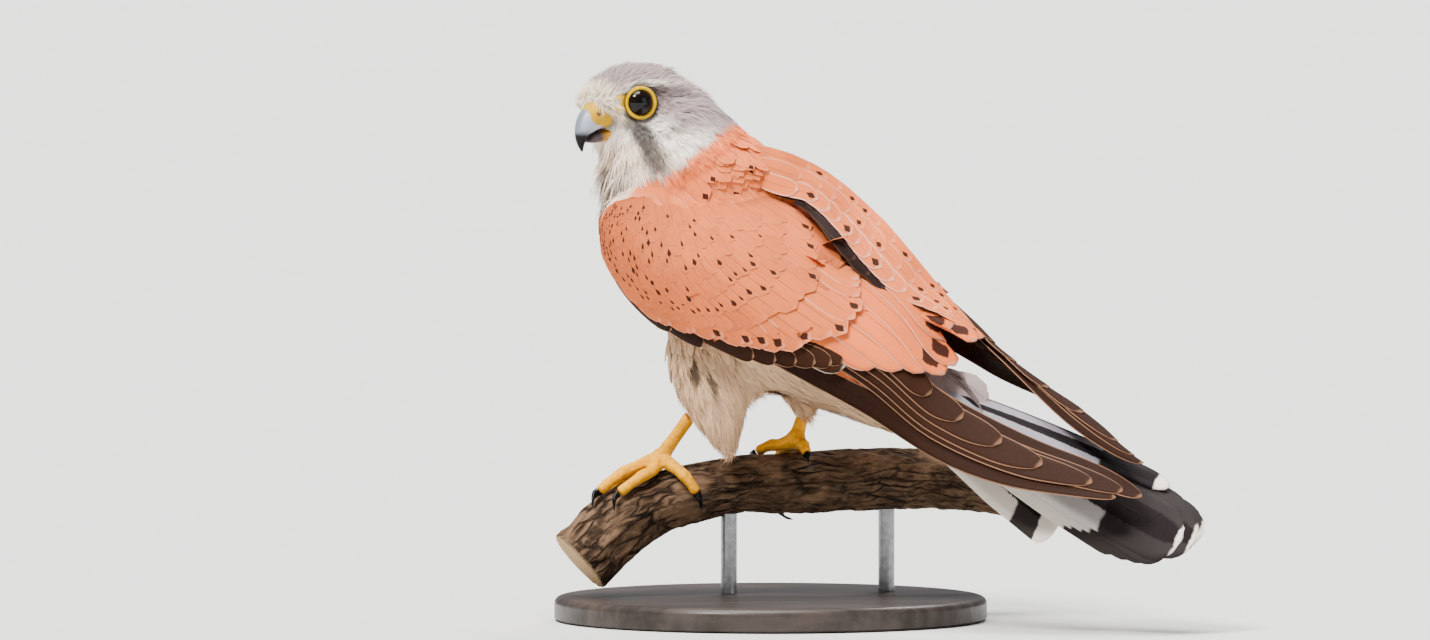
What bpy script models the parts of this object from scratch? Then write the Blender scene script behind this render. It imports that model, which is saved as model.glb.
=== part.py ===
"""Common kestrel at rest on a cut length of branch, held up by a plain display stand.

Run with: blender --background --python part.py
Sizes are in millimetres in the bird's own frame: a runs forward along its body, b to its
left, c up. The stand rests on z = 0 and the bird looks back over its left shoulder.
"""
import math
import random

import bpy
import bmesh
from mathutils import Matrix, Vector

MM = 0.001
GAP = 0.3
BODY_YAW = math.radians(30)
BODY_ROLL = math.radians(12)
PERCH_LEVEL = 62.5

HEAD_AT = (43.4, 8.0, 128.4)
HEAD_TURN = math.radians(70)
HEAD_PITCH = math.radians(7)
EYE_R = 5.6
EYE_SIDE = 11.9
LID_R = 5.15
LID_TUBE = 0.8

COVERT_IN = -2.5
FLIGHT_TOP = -2.9
FLIGHT_IN = -4.9
PRIMARY_TOP = -5.3
PRIMARY_IN = -7.6
VANE = 0.8

TAIL_ROOT = (-52.6, 48.1)
TAIL_SLOPE = 0.537
TAIL_TILT = 0.2
TAIL_DROOP = 0.0062
TAIL_SINK = 2.0
TAIL_ROLL = 0.8
TAIL_LEFT = ((138, 4.5, -1), (136.5, 5, 1.5), (133, 5.5, 3), (128, 6, 4.5), (121.5, 7, 6), (96, 10, 14))
TAIL_RIGHT = ((142, 4.5, -4), (142.5, 4, -6), (142.8, 3.5, -8), (140.5, 3, -10.5), (134, 2.5, -12.5), (123, 2, -13))

BASE_R = 80.0
BASE_H = 9.0
STAND_SHIFT = Vector((15.0, -10.0, 0.0))
ROD_R = 3.0
ROD_X = (0.0, 58.0)

rng = random.Random(11)

for old in list(bpy.data.objects):
    bpy.data.objects.remove(old, do_unlink=True)

bird = bpy.data.collections.new("common_kestrel")
cutters = bpy.data.collections.new("cutters")
bpy.context.scene.collection.children.link(bird)
bpy.context.scene.collection.children.link(cutters)


def to_world(p):
    """World position in metres of a point in the bird's frame."""
    a, b, c = p
    cy = math.cos(BODY_YAW)
    sy = math.sin(BODY_YAW)
    return (Vector((-cy * a - sy * b, sy * a - cy * b, c + PERCH_LEVEL)) - STAND_SHIFT) * MM


def on_head(forward, left, up):
    """Point in the bird's frame from the head's own axes."""
    ct = math.cos(HEAD_TURN)
    st = math.sin(HEAD_TURN)
    cp = math.cos(HEAD_PITCH)
    sp = math.sin(HEAD_PITCH)
    level = forward * cp + up * sp
    rise = up * cp - forward * sp
    return Vector((HEAD_AT[0] + level * ct - left * st,
                   HEAD_AT[1] + level * st + left * ct,
                   HEAD_AT[2] + rise))


def material(name, colour, roughness=0.7, metallic=0.0):
    mat = bpy.data.materials.new(name)
    mat.use_nodes = True
    shader = mat.node_tree.nodes["Principled BSDF"]
    shader.inputs["Base Color"].default_value = (*colour, 1.0)
    shader.inputs["Roughness"].default_value = roughness
    shader.inputs["Metallic"].default_value = metallic
    mat.diffuse_color = (*colour, 1.0)
    return mat


def new_object(name, bm, where):
    mesh = bpy.data.meshes.new(name)
    bm.to_mesh(mesh)
    bm.free()
    mesh.shade_smooth()
    obj = bpy.data.objects.new(name, mesh)
    where.objects.link(obj)
    if where is cutters:
        obj.hide_render = True
        obj.display_type = "WIRE"
    return obj


def loft(name, rings, where=cutters):
    """Closed body through rings of equal count, given as points in the bird's frame."""
    bm = bmesh.new()
    rows = [[bm.verts.new(to_world(p)) for p in ring] for ring in rings]
    count = len(rings[0])
    for low, high in zip(rows, rows[1:]):
        for k in range(count):
            n = (k + 1) % count
            bm.faces.new((low[k], low[n], high[n], high[k]))
    bm.faces.new(rows[0][::-1])
    bm.faces.new(rows[-1])
    bmesh.ops.triangulate(bm, faces=bm.faces)
    bmesh.ops.recalc_face_normals(bm, faces=bm.faces)
    return new_object(name, bm, where)


def applied(obj):
    """Bake the object's modifiers into its mesh."""
    graph = bpy.context.evaluated_depsgraph_get()
    mesh = bpy.data.meshes.new_from_object(obj.evaluated_get(graph))
    old = obj.data
    obj.modifiers.clear()
    obj.data = mesh
    bpy.data.meshes.remove(old)
    return obj


def closed(obj):
    """Whether every edge of the mesh joins exactly two faces."""
    bm = bmesh.new()
    bm.from_mesh(obj.data)
    whole = all(edge.is_manifold for edge in bm.edges)
    bm.free()
    return whole


def boolean(obj, operation, operand):
    mod = obj.modifiers.new(operation.lower(), "BOOLEAN")
    mod.operation = operation
    mod.solver = "MANIFOLD" if closed(obj) else "EXACT"
    if isinstance(operand, bpy.types.Collection):
        mod.operand_type = "COLLECTION"
        mod.collection = operand
    else:
        mod.object = operand
    return applied(obj)


def discard(*objs):
    for obj in objs:
        mesh = obj.data
        bpy.data.objects.remove(obj, do_unlink=True)
        if mesh.users == 0:
            bpy.data.meshes.remove(mesh)


def copy_of(obj, name, where=cutters):
    new = obj.copy()
    new.data = obj.data.copy()
    new.name = name
    where.objects.link(new)
    return new


def islands(bm):
    left = set(bm.verts)
    while left:
        start = left.pop()
        group = {start}
        queue = [start]
        while queue:
            for edge in queue.pop().link_edges:
                for vert in edge.verts:
                    if vert in left:
                        left.discard(vert)
                        group.add(vert)
                        queue.append(vert)
        yield group


def keep_largest(obj, flat=0.0):
    """Leave only the largest closed surface, and tidy its shortest edges and flat faces."""
    bm = bmesh.new()
    bm.from_mesh(obj.data)
    groups = sorted(islands(bm), key=len, reverse=True)
    for group in groups[1:]:
        bmesh.ops.delete(bm, geom=list(group), context="VERTS")
    plain = bm.copy()
    bmesh.ops.dissolve_degenerate(bm, dist=0.02 * MM, edges=bm.edges)
    if flat:
        bmesh.ops.dissolve_limit(bm, angle_limit=math.radians(flat), verts=bm.verts, edges=bm.edges)
    bmesh.ops.triangulate(bm, faces=bm.faces)
    if any(not edge.is_manifold for edge in bm.edges):
        bm.free()
        bm = plain
        bmesh.ops.triangulate(bm, faces=bm.faces)
    else:
        plain.free()
    bm.to_mesh(obj.data)
    bm.free()
    obj.data.shade_smooth()
    return obj


def fuse(name, pieces):
    """One body from overlapping closed pieces, by a single union on their collection."""
    group = bpy.data.collections.new(name + "_pieces")
    bpy.context.scene.collection.children.link(group)
    for piece in pieces[1:]:
        for held in list(piece.users_collection):
            held.objects.unlink(piece)
        group.objects.link(piece)
    whole = pieces[0]
    boolean(whole, "UNION", group)
    discard(*pieces[1:])
    bpy.data.collections.remove(group)
    for held in list(whole.users_collection):
        held.objects.unlink(whole)
    bird.objects.link(whole)
    whole.name = name
    whole.hide_render = False
    whole.display_type = "TEXTURED"
    return keep_largest(whole, 0.4)


def lighter(obj, ratio):
    """Merge the small triangles that a union leaves along its seams."""
    thin = obj.modifiers.new("lighter", "DECIMATE")
    thin.ratio = ratio
    return keep_largest(applied(obj))


def finished(obj, name, mat):
    """Name the body, move it to the bird's collection and give it its material."""
    for held in list(obj.users_collection):
        held.objects.unlink(obj)
    bird.objects.link(obj)
    obj.name = name
    obj.data.name = name
    obj.hide_render = False
    obj.display_type = "TEXTURED"
    obj.data.materials.clear()
    obj.data.materials.append(mat)
    return obj


def spline(table, t):
    """Catmull-Rom value of a table of tuples at a station."""
    last = len(table) - 1
    t = min(max(t, 0.0), last - 1e-9)
    i = int(t)
    f = t - i
    p1 = Vector(table[i])
    p2 = Vector(table[i + 1])
    p0 = Vector(table[i - 1]) if i > 0 else p1 * 2 - p2
    p3 = Vector(table[i + 2]) if i + 2 <= last else p2 * 2 - p1
    return (p1 * 2 + (p2 - p0) * f + (p0 * 2 - p1 * 5 + p2 * 4 - p3) * f * f
            + (p1 * 3 - p0 - p2 * 3 + p3) * f ** 3) * 0.5


def ellipse_ring(centre, up, side, top, bottom, half, count=24, power=2.0):
    ring = []
    for k in range(count):
        angle = math.tau * k / count
        ca = math.cos(angle)
        sa = math.sin(angle)
        ca = math.copysign(abs(ca) ** (2 / power), ca)
        sa = math.copysign(abs(sa) ** (2 / power), sa)
        ring.append(centre + up * (ca * (top if ca > 0 else bottom)) + side * (sa * half))
    return ring


def tube_rings(path, radii, count=10, flat=1.0, hint=Vector((0, 0, 1))):
    """Rings square to a path of points, for a limb, toe or claw."""
    points = [Vector(p) for p in path]
    rings = []
    for k, point in enumerate(points):
        ahead = points[min(k + 1, len(points) - 1)]
        behind = points[max(k - 1, 0)]
        along = (ahead - behind).normalized()
        side = along.cross(hint).normalized()
        up = side.cross(along)
        rings.append([point + up * math.cos(math.tau * j / count) * radii[k] * flat
                      + side * math.sin(math.tau * j / count) * radii[k] for j in range(count)])
    return rings


TRUNK = (
    (-118, 10, -117, 6, 4, 0), (-109.5, 18.5, -106.5, 6.5, 8, 0), (-102, 32.5, -94, 6, 12, 0),
    (-90.5, 45, -74, 5.5, 16, 0), (-69, 62, -43, 14, 23, 0), (-47, 80, -16, 21, 28, 0), (-30.5, 98.5, 11, 30, 31, 0),
    (-18.8, 109.5, 33, 48, 32, 0), (-9.5, 117.6, 45, 70, 30.5, 0), (0, 123, 50, 88, 27, 0), (6, 128, 53, 103, 21.5, -1),
    (13, 134, 52, 116, 14.5, -3), (22, 137.5, 46, 130, 8, -4),
)


def torso_form():
    """Trunk and neck from back and belly points of each section, rolled to the bird's left."""
    rings = []
    for back_a, back_c, front_a, front_c, half, shift in TRUNK:
        back = Vector((back_a, shift, back_c))
        front = Vector((front_a, shift, front_c))
        up = (back - front).normalized()
        side = Vector((0, 1, 0))
        rise = up * math.cos(BODY_ROLL) + side * math.sin(BODY_ROLL)
        across = side * math.cos(BODY_ROLL) - up * math.sin(BODY_ROLL)
        depth = (back - front).length / 2
        rings.append(ellipse_ring((back + front) / 2, rise, across, depth, depth, half))
    return loft("torso_form", rings)


HEAD_SECTIONS = (
    (13.2, 8.0, 2.6, 9.5), (11.8, 11.0, 5.0, 13.0), (9, 12.8, 7.2, 14.6), (6, 13.6, 9.0, 15.2),
    (3, 13.8, 10.3, 15.6), (-1, 14.4, 11.6, 16.0), (-6, 15.8, 12.5, 17.5), (-12, 17.0, 12.4, 18.0),
    (-18, 16.6, 11.8, 18.0), (-24, 14.0, 8.0, 16.0), (-29, 8.0, 2.5, 10.0),
)


def head_form():
    rings = []
    for forward, half, top, bottom in HEAD_SECTIONS:
        centre = on_head(forward, 0, 0)
        up = on_head(forward, 0, 1) - centre
        side = on_head(forward, 1, 0) - centre
        rings.append(ellipse_ring(centre, up, side, top, bottom, half, 24, 2.15))
    return loft("head_form", rings)


def brow_form(side):
    rings = []
    for forward, width, high in ((7.5, 0.6, 0.5), (5, 2.0, 1.5), (0, 2.6, 2.0), (-5, 2.0, 1.6), (-8, 0.6, 0.5)):
        centre = on_head(forward, side * (13.4 - 0.12 * forward), 5.4 - 0.02 * forward ** 2)
        up = on_head(forward, 0, 1) - on_head(forward, 0, 0)
        out = on_head(forward, 1, 0) - on_head(forward, 0, 0)
        rings.append(ellipse_ring(centre, up, out, high, high, width, 10))
    return loft("brow_form", rings)


THIGH_LEFT = ((-1, 13, 44, 21, 13), (-2, 17, 33, 19, 12), (-3.5, 19, 22, 15.5, 10.5),
              (-6, 19.5, 12, 11, 8), (-8.5, 19, 4, 6.5, 5), (-9.5, 18.5, 1, 3, 2.6))
THIGH_RIGHT = ((-12, -16, 42, 19, 12), (-14, -21, 31, 15, 11.5), (-16, -23.5, 23, 11, 9.5),
               (-17.5, -23.5, 17.5, 8, 7), (-18.5, -22.5, 13.5, 5, 4.6), (-18.5, -22, 12, 3.2, 3))


def thigh_form(sections, name):
    rings = []
    for a, b, c, long_half, wide_half in sections:
        rings.append(ellipse_ring(Vector((a, b, c)), Vector((1, 0, 0)), Vector((0, 1, 0)),
                                  long_half, long_half, wide_half, 20))
    return loft(name, rings)


LEFT_WING = (
    ((39.7, 29, 83.3), (37.1, 29, 91.1), (33.3, 20, 97.1)),
    ((32.2, 36, 70.4), (22.3, 39, 85.7), (19.9, 21, 99.7)),
    ((15.9, 39, 55.1), (1.1, 44, 76.1), (3.0, 17, 98.5)),
    ((-11.6, 40, 40.7), (-27.0, 43, 68.6), (-19.4, 10, 96.6)),
    ((-42.9, 38, 27.3), (-54.4, 38, 54.3), (-46.5, 5, 79.3)),
    ((-76.9, 37, 15.6), (-82.8, 31, 37.7), (-76.5, 3, 57.0)),
    ((-103.5, 35, 6.2), (-102.7, 24, 19.3), (-97.2, 4, 34.2)),
    ((-136.0, 32, -4.6), (-134.0, 19, 3.6), (-133.6, 5, 10.8)),
    ((-164.8, 22, -10.2), (-163.0, 13, -6.3), (-162.2, 5, -2.6)),
    ((-181.6, 9, -13.4), (-181.1, 8, -12.9), (-180.5, 7, -12.4)),
)
RIGHT_WING = (
    ((31.7, -32, 92), (27.5, -29, 103), (24, -18, 110)),
    ((22.2, -41, 83), (12.0, -37, 100), (13, -14.6, 109.5)),
    ((4, -46, 69), (-8, -40, 99), (-6, -9, 107.5)),
    ((-23, -46, 57), (-32, -40, 91), (-24, -6, 97)),
    ((-52, -43, 44), (-59, -38, 68), (-49.9, -6, 77.5)),
    ((-84, -38, 33), (-87, -31, 49.5), (-77, -6, 56.5)),
    ((-106, -30, 28), (-106, -20, 39), (-100.6, -7, 43.5)),
    ((-137, -22, 18), (-135, -13, 21.8), (-133, -5, 18.6)),
    ((-161, -13, 4.5), (-159.5, -8, 7.0), (-158, -3.5, 6.4)),
    ((-176, -4.4, -1.4), (-175.4, -3.7, -0.8), (-175, -3, -0.6)),
)


class Wing:
    """Outer surface of a folded wing: t runs from the bend to the tip, q from the lower rail up."""

    def __init__(self, table, side):
        self.side = side
        self.rails = [[row[k] for row in table] for k in range(3)]

    def at(self, t, q):
        if t < 0:
            return self.at(0, q) + (self.at(0, q) - self.at(0.1, q)) * (-t / 0.1)
        low = spline(self.rails[0], t)
        mid = spline(self.rails[1], t)
        top = spline(self.rails[2], t)
        return low * (2 * (q - 0.5) * (q - 1)) + mid * (4 * q * (1 - q)) + top * (2 * q * (q - 0.5))

    def frame(self, t, q):
        """Point, change per t, change per q and outward normal."""
        lo = max(min(t, 8.85) - 0.06, 0.0)
        hi = lo + 0.12
        per_t = (self.at(hi, q) - self.at(lo, q)) / (hi - lo)
        per_q = (self.at(t, q + 0.04) - self.at(t, q - 0.04)) / 0.08
        out = per_t.cross(per_q).normalized() * self.side
        return self.at(t, q), per_t, per_q, out

    def lifted(self, t, q, h):
        point, _, _, out = self.frame(t, q)
        return point + out * h


wings = {"left": Wing(LEFT_WING, 1), "right": Wing(RIGHT_WING, -1)}


def between(rows, t):
    """Linear value at t of rows that start with their own t."""
    if t <= rows[0][0]:
        return rows[0][1:]
    for one, two in zip(rows, rows[1:]):
        if t <= two[0]:
            f = (t - one[0]) / (two[0] - one[0])
            return tuple(x + (y - x) * f for x, y in zip(one[1:], two[1:]))
    return rows[-1][1:]


def sheet(name, wing, rows, where=cutters, margin=0.0, columns=8):
    """Closed slab of the wing. Each row gives t, lower and upper rail, top and bottom depth.

    Every slab shares the same lines of t and q, so that stacked slabs keep their gap.
    """
    first = rows[0][0]
    last = rows[-1][0]
    stations = [first] + [k * 0.5 for k in range(20) if first + 0.01 < k * 0.5 < last - 0.05] + [last]
    lines = [j / columns for j in range(columns + 1)]
    if margin:
        lines = [-margin] + lines + [1 + margin]
    bm = bmesh.new()
    faces = []
    for side in (2, 3):
        grid = []
        for t in stations:
            values = between(rows, t)
            low, high = (-margin, 1 + margin) if margin else values[:2]
            if columns == 2:
                spots = [low + (high - low) * q for q in lines]
            else:
                spots = [min(max(q, low), high) for q in lines]
            grid.append([bm.verts.new(to_world(wing.lifted(t, q, values[side]))) for q in spots])
        faces.append(grid)
    upper, lower = faces
    n = len(stations) - 1
    across = len(lines) - 1
    for k in range(n):
        for j in range(across):
            for grid in (upper, lower):
                bm.faces.new((grid[k][j], grid[k][j + 1], grid[k + 1][j + 1], grid[k + 1][j]))
        for j in (0, across):
            bm.faces.new((upper[k][j], upper[k + 1][j], lower[k + 1][j], lower[k][j]))
    for k in (0, n):
        for j in range(across):
            bm.faces.new((upper[k][j], upper[k][j + 1], lower[k][j + 1], lower[k][j]))
    bmesh.ops.triangulate(bm, faces=bm.faces)
    bmesh.ops.remove_doubles(bm, verts=bm.verts, dist=0.001 * MM)
    bmesh.ops.dissolve_degenerate(bm, dist=0.001 * MM, edges=bm.edges)
    bmesh.ops.recalc_face_normals(bm, faces=bm.faces)
    return new_object(name, bm, where)


def wing_cutter(label):
    rows = ((-0.03, 0, 1, 9.0, PRIMARY_IN - GAP), (6.5, 0, 1, 9.0, PRIMARY_IN - GAP))
    return sheet("cutter", wings[label], rows, margin=0.06)


COVERT_BED = ((0, 0, 1, 0, PRIMARY_IN), (1.3, 0, 1, 0, PRIMARY_IN), (1.9, 0, 1, -1.0, PRIMARY_IN),
              (2.4, 0, 1, -1.3, -4.6), (2.8, 0.03, 1, -1.3, COVERT_IN), (3.4, 0.3, 1, -1.3, COVERT_IN))
SECONDARY_BED = ((2.9, 0.2, 0.97, FLIGHT_TOP - 0.8, FLIGHT_IN + 0.35), (4.0, 0.32, 0.96, FLIGHT_TOP - 0.8, FLIGHT_IN + 0.35),
                 (5.0, 0.5, 0.95, FLIGHT_TOP - 0.8, FLIGHT_IN + 0.35), (5.6, 0.72, 0.94, FLIGHT_TOP - 0.8, FLIGHT_IN + 0.35))
ROOMS = {
    "coverts": ((0, 0, 1, 1.2, PRIMARY_IN), (1.9, 0, 1, 1.2, PRIMARY_IN), (2.4, 0, 1, 1.2, -4.6),
                (2.8, 0, 1, 1.2, COVERT_IN), (4.9, 0, 1, 1.2, COVERT_IN)),
    "secondaries": ((2.85, 0, 1, FLIGHT_TOP, FLIGHT_IN), (6.3, 0, 1, FLIGHT_TOP, FLIGHT_IN)),
    "primaries": ((2.85, 0, 1, PRIMARY_TOP, PRIMARY_IN), (5.9, 0, 1, PRIMARY_TOP, PRIMARY_IN),
                  (6.5, 0, 1, -2.6, -6.0), (7.0, 0, 1, -0.8, -4.4), (7.5, 0, 1, 0.3, -3.4),
                  (8.94, 0, 1, 0.6, -2.6)),
}
PRIMARY_BED = tuple((t, low, high, between(ROOMS["primaries"], t)[2] - 0.9, between(ROOMS["primaries"], t)[3] + 0.35)
                    for t, low, high in ((2.9, 0.06, 0.94), (5.0, 0.12, 0.75), (6.0, 0.1, 0.6), (6.5, 0.08, 0.6),
                                         (7.0, 0.08, 0.62), (7.5, 0.08, 0.65), (8.4, 0.2, 0.7)))
PRIMARY_TIPS = ((5.85, 0.5), (6.3, 0.47), (6.8, 0.41), (7.35, 0.33), (7.95, 0.3), (8.45, 0.4), (8.86, 0.55),
                (8.5, 0.14))
SECONDARY_TIPS = ((4.55, 0.3), (4.85, 0.39), (5.15, 0.48), (5.4, 0.57), (5.65, 0.68), (5.85, 0.8), (6.0, 0.93))
GREATER_TIPS = ((3.2, 0.1), (3.55, 0.18), (3.85, 0.27), (4.1, 0.37), (4.3, 0.48), (4.45, 0.6), (4.5, 0.74))
MEDIAN_TIPS = ((2.3, 0.12), (2.65, 0.24), (2.95, 0.37), (3.15, 0.5), (3.3, 0.63), (3.35, 0.76))
SCAPULAR_TIPS = ((3.0, 0.86), (3.75, 0.9), (4.4, 0.94))
HAND_TIPS = ((3.05, 0.035), (3.45, 0.05), (3.85, 0.065), (4.25, 0.09))


def vane(wing, path, half, depth, tilt, stations):
    """Closed feather plate along a straight path of t and q.

    Depth gives its upper face from t and the share of the way out, and tilt lifts the edge
    that faces the lower rail.
    """
    if stations == 5:
        profile = ((0, 0.7), (0.45, 0.95), (0.75, 1.0), (0.93, 0.72), (1.0, 0.26))
    else:
        profile = ((0, 0.7), (0.55, 1.0), (0.87, 0.8), (1.0, 0.34))
    (t0, q0), (t1, q1) = path
    rings = []
    for step, width in profile:
        t = t0 + (t1 - t0) * step
        q = q0 + (q1 - q0) * step
        _, per_t, per_q, out = wing.frame(t, q)
        along = (per_t * (t1 - t0) + per_q * (q1 - q0)).normalized()
        across = along.cross(out).normalized()
        if across.dot(per_q) < 0:
            across = -across
        tt = per_t.dot(per_t)
        tq = per_t.dot(per_q)
        qq = per_q.dot(per_q)
        det = tt * qq - tq * tq
        thick = VANE * (1.0 if step < 0.9 else 0.75)
        upper = []
        lower = []
        for side in (-1, 1):
            s = side * half * width
            ft = across.dot(per_t) * s
            fq = across.dot(per_q) * s
            dt = (qq * ft - tq * fq) / det
            dq = (tt * fq - tq * ft) / det
            lift = depth(t, step) - tilt * side * width
            upper.append(wing.lifted(t + dt, q + dq, lift))
            lower.append(wing.lifted(t + dt, q + dq, lift - thick))
        rings.append(upper + lower[::-1])
    return loft("vane", rings)


def row(wing, tips, reach, drift, half, depth, tilt, stations=4):
    """Overlapping vanes that reach back from the given tips."""
    pieces = []
    for t, q in tips:
        end = t + rng.uniform(-0.02, 0.02)
        pieces.append(vane(wing, ((t - reach, q + drift), (end, q)), half * rng.uniform(0.96, 1.04), depth, tilt, stations))
    return pieces


def rising(root, tip):
    return lambda t, step: root + (tip - root) * step


def primary_depth(t, step):
    return between(ROOMS["primaries"], t)[2] - 1.3 + 0.9 * step


def in_room(body, label, layer, low=None):
    """Trim a layer to its own depth of the wing, so that stacked layers never touch."""
    rows = ROOMS[layer]
    if low is not None:
        rows = tuple((t, low, 1.04, top, bottom) for t, _, _, top, bottom in rows)
    room = sheet("room", wings[label], rows, margin=0.0 if low is not None else 0.06)
    boolean(body, "INTERSECT", room)
    discard(room)
    return keep_largest(body, 0.4)


def wing_nodes(label):
    wing = wings[label]
    pieces = [sheet("bed", wing, COVERT_BED)]
    pieces += row(wing, GREATER_TIPS, 1.2, 0.03, 6.8, rising(-1.9, -1.0), 0.3)
    pieces += row(wing, MEDIAN_TIPS, 0.9, 0.02, 7.0, rising(-1.6, -0.3), 0.3)
    pieces += row(wing, SCAPULAR_TIPS, 0.9, 0.0, 7.5, rising(-1.6, 0.0), 0.3)
    body = lighter(fuse(f"wing_{label}_coverts", pieces), 0.36)
    finished(in_room(body, label, "coverts"), f"wing_{label}_coverts", wing_mats["coverts"])

    pieces = [sheet("bed", wing, SECONDARY_BED, columns=4)]
    pieces += row(wing, SECONDARY_TIPS, 1.5, -0.02, 7.2, rising(FLIGHT_TOP - 1.2, FLIGHT_TOP - 0.4), 0.35, 5)
    body = lighter(fuse(f"wing_{label}_secondaries", pieces), 0.37)
    finished(in_room(body, label, "secondaries", 0.135), f"wing_{label}_secondaries", wing_mats["secondaries"])

    pieces = [sheet("bed", wing, PRIMARY_BED, columns=4)]
    pieces += row(wing, PRIMARY_TIPS, 1.7, -0.03, 6.6, primary_depth, 0.3, 5)
    body = lighter(fuse(f"wing_{label}_primaries", pieces), 0.37)
    finished(in_room(body, label, "primaries"), f"wing_{label}_primaries", wing_mats["primaries"])

    pieces = row(wing, HAND_TIPS, 0.9, -0.02, 3.8, rising(FLIGHT_TOP - 0.7, FLIGHT_TOP - 0.5), 0.25)
    body = lighter(fuse(f"wing_{label}_alula", pieces), 0.6)
    room = sheet("room", wing, ((2.0, -0.06, 0.12, -1.6, FLIGHT_IN), (4.5, -0.06, 0.12, -1.6, FLIGHT_IN)), columns=2)
    boolean(body, "INTERSECT", room)
    discard(room)
    bed = sheet("room", wing, tuple((t, -0.1, 0.5, top + 0.5, bottom - GAP)
                                    for t, _, _, top, bottom in ROOMS["coverts"]))
    boolean(body, "DIFFERENCE", bed)
    discard(bed)
    finished(keep_largest(body, 0.4), f"wing_{label}_alula", wing_mats["alula"])


def tail_point(a, b, h=0.0):
    """Point of the tail's upper surface, which rolls over to the left away from the root."""
    far = min(max((TAIL_ROOT[0] - a - 8) / 32, 0.0), 1.0)
    far = far * far * (3 - 2 * far)
    tilt = TAIL_TILT + (TAIL_ROLL - TAIL_TILT) * far
    droop = TAIL_DROOP * (1 + far)
    c = TAIL_ROOT[1] + (a - TAIL_ROOT[0]) * TAIL_SLOPE - tilt * b - droop * b * b - TAIL_SINK
    up = Vector((-TAIL_SLOPE, tilt + 2 * droop * b, 1.0)).normalized()
    return Vector((a, b, c)) + up * h


def tail_slab(name, a_list, half_list, top, bottom, grow=0.0):
    rings = []
    for a, half in zip(a_list, half_list):
        half += grow
        offsets = [half * k / 4 for k in range(-4, 5)]
        ring = [tail_point(a, b, top + grow) for b in offsets]
        ring += [tail_point(a, b, bottom - grow) for b in reversed(offsets)]
        rings.append(ring)
    return loft(name, rings)


def tail_vane(reach, start, middle, end, half, depth):
    """Closed tail feather plate whose middle line passes three offsets to the left."""
    turn = math.atan((end - middle) / (0.6 * reach))
    rings = []
    root = 10 / reach
    for step, width in ((root, 0.45), (0.23, 0.6), (0.42, 0.78), (0.7, 0.97), (0.88, 1.0), (0.97, 0.8), (1.0, 0.4)):
        share = (step - 0.42) / 0.58 if step > 0.42 else (step - root) / (0.42 - root)
        b = middle + (end - middle) * share if step > 0.42 else start + (middle - start) * share
        a = TAIL_ROOT[0] - reach * step
        upper = []
        lower = []
        for side in (-1, 1):
            s = side * half * width
            lift = depth - 0.1 * side
            upper.append(tail_point(a + s * math.sin(turn), b + s * math.cos(turn), lift))
            lower.append(tail_point(a + s * math.sin(turn), b + s * math.cos(turn), lift - VANE))
        rings.append(upper + lower[::-1])
    return loft("vane", rings)


def tail_pieces():
    pieces = [tail_slab("tail", (-61.3, -68, -75, -82), (10.5, 11.5, 12.0, 12.5), 0.5, -3.3)]
    for k, (left, right) in enumerate(zip(TAIL_LEFT, TAIL_RIGHT)):
        half = 11.2 - 0.3 * k
        pieces.append(tail_vane(left[0], 1.5 + 0.6 * k, left[1], left[2], half, -0.38 * k))
        pieces.append(tail_vane(right[0], -1.5 - 0.6 * k, right[1], right[2], half, -0.38 * k - 0.19))
    return pieces


def keep_side(obj, point, normal, name):
    """Copy of a body cut by a plane, leaving the side that the normal points to."""
    bm = bmesh.new()
    size = 0.4
    bmesh.ops.create_cube(bm, size=size)
    origin = to_world(point)
    way = (to_world(Vector(point) + Vector(normal)) - origin).normalized()
    turn = Vector((0, 0, 1)).rotation_difference(way).to_matrix().to_4x4()
    place = Matrix.Translation(origin) @ turn @ Matrix.Translation((0, 0, size / 2))
    bmesh.ops.transform(bm, matrix=place, verts=bm.verts)
    block = new_object("block", bm, cutters)
    part = copy_of(obj, name)
    boolean(part, "INTERSECT", block)
    discard(block)
    return part


def ball(name, centre, radius, where=cutters, segments=24, rings=14, axis=None):
    bm = bmesh.new()
    bmesh.ops.create_uvsphere(bm, u_segments=segments, v_segments=rings, radius=radius * MM)
    if axis is not None:
        way = (to_world(Vector(axis)) - to_world(Vector((0, 0, 0)))).normalized()
        turn = Vector((0, 0, 1)).rotation_difference(way).to_matrix()
        bmesh.ops.rotate(bm, matrix=turn, verts=bm.verts)
    bmesh.ops.translate(bm, vec=to_world(centre), verts=bm.verts)
    bmesh.ops.triangulate(bm, faces=bm.faces)
    return new_object(name, bm, where)


def eye_axis(side):
    return (on_head(0.28, side * 0.95, 0.05) - on_head(0, 0, 0)).normalized()


def eye_centre(side):
    return on_head(0.2, side * EYE_SIDE, 0.0)


def lid(side):
    """Ring of bare skin round the eye."""
    centre = eye_centre(side) + eye_axis(side) * 2.7
    way = eye_axis(side)
    up = on_head(0, 0, 1) - on_head(0, 0, 0)
    across = way.cross(up).normalized()
    up = across.cross(way)
    bm = bmesh.new()
    major = 20
    minor = 8
    grid = []
    for i in range(major):
        angle = math.tau * i / major
        spoke = across * math.cos(angle) * 1.06 + up * math.sin(angle)
        row = []
        for j in range(minor):
            turn = math.tau * j / minor
            row.append(bm.verts.new(to_world(centre + spoke * (LID_R + LID_TUBE * math.cos(turn))
                                             + way * LID_TUBE * math.sin(turn))))
        grid.append(row)
    for i in range(major):
        for j in range(minor):
            i2 = (i + 1) % major
            j2 = (j + 1) % minor
            bm.faces.new((grid[i][j], grid[i][j2], grid[i2][j2], grid[i2][j]))
    bmesh.ops.triangulate(bm, faces=bm.faces)
    bmesh.ops.recalc_face_normals(bm, faces=bm.faces)
    return new_object("lid", bm, cutters)


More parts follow.
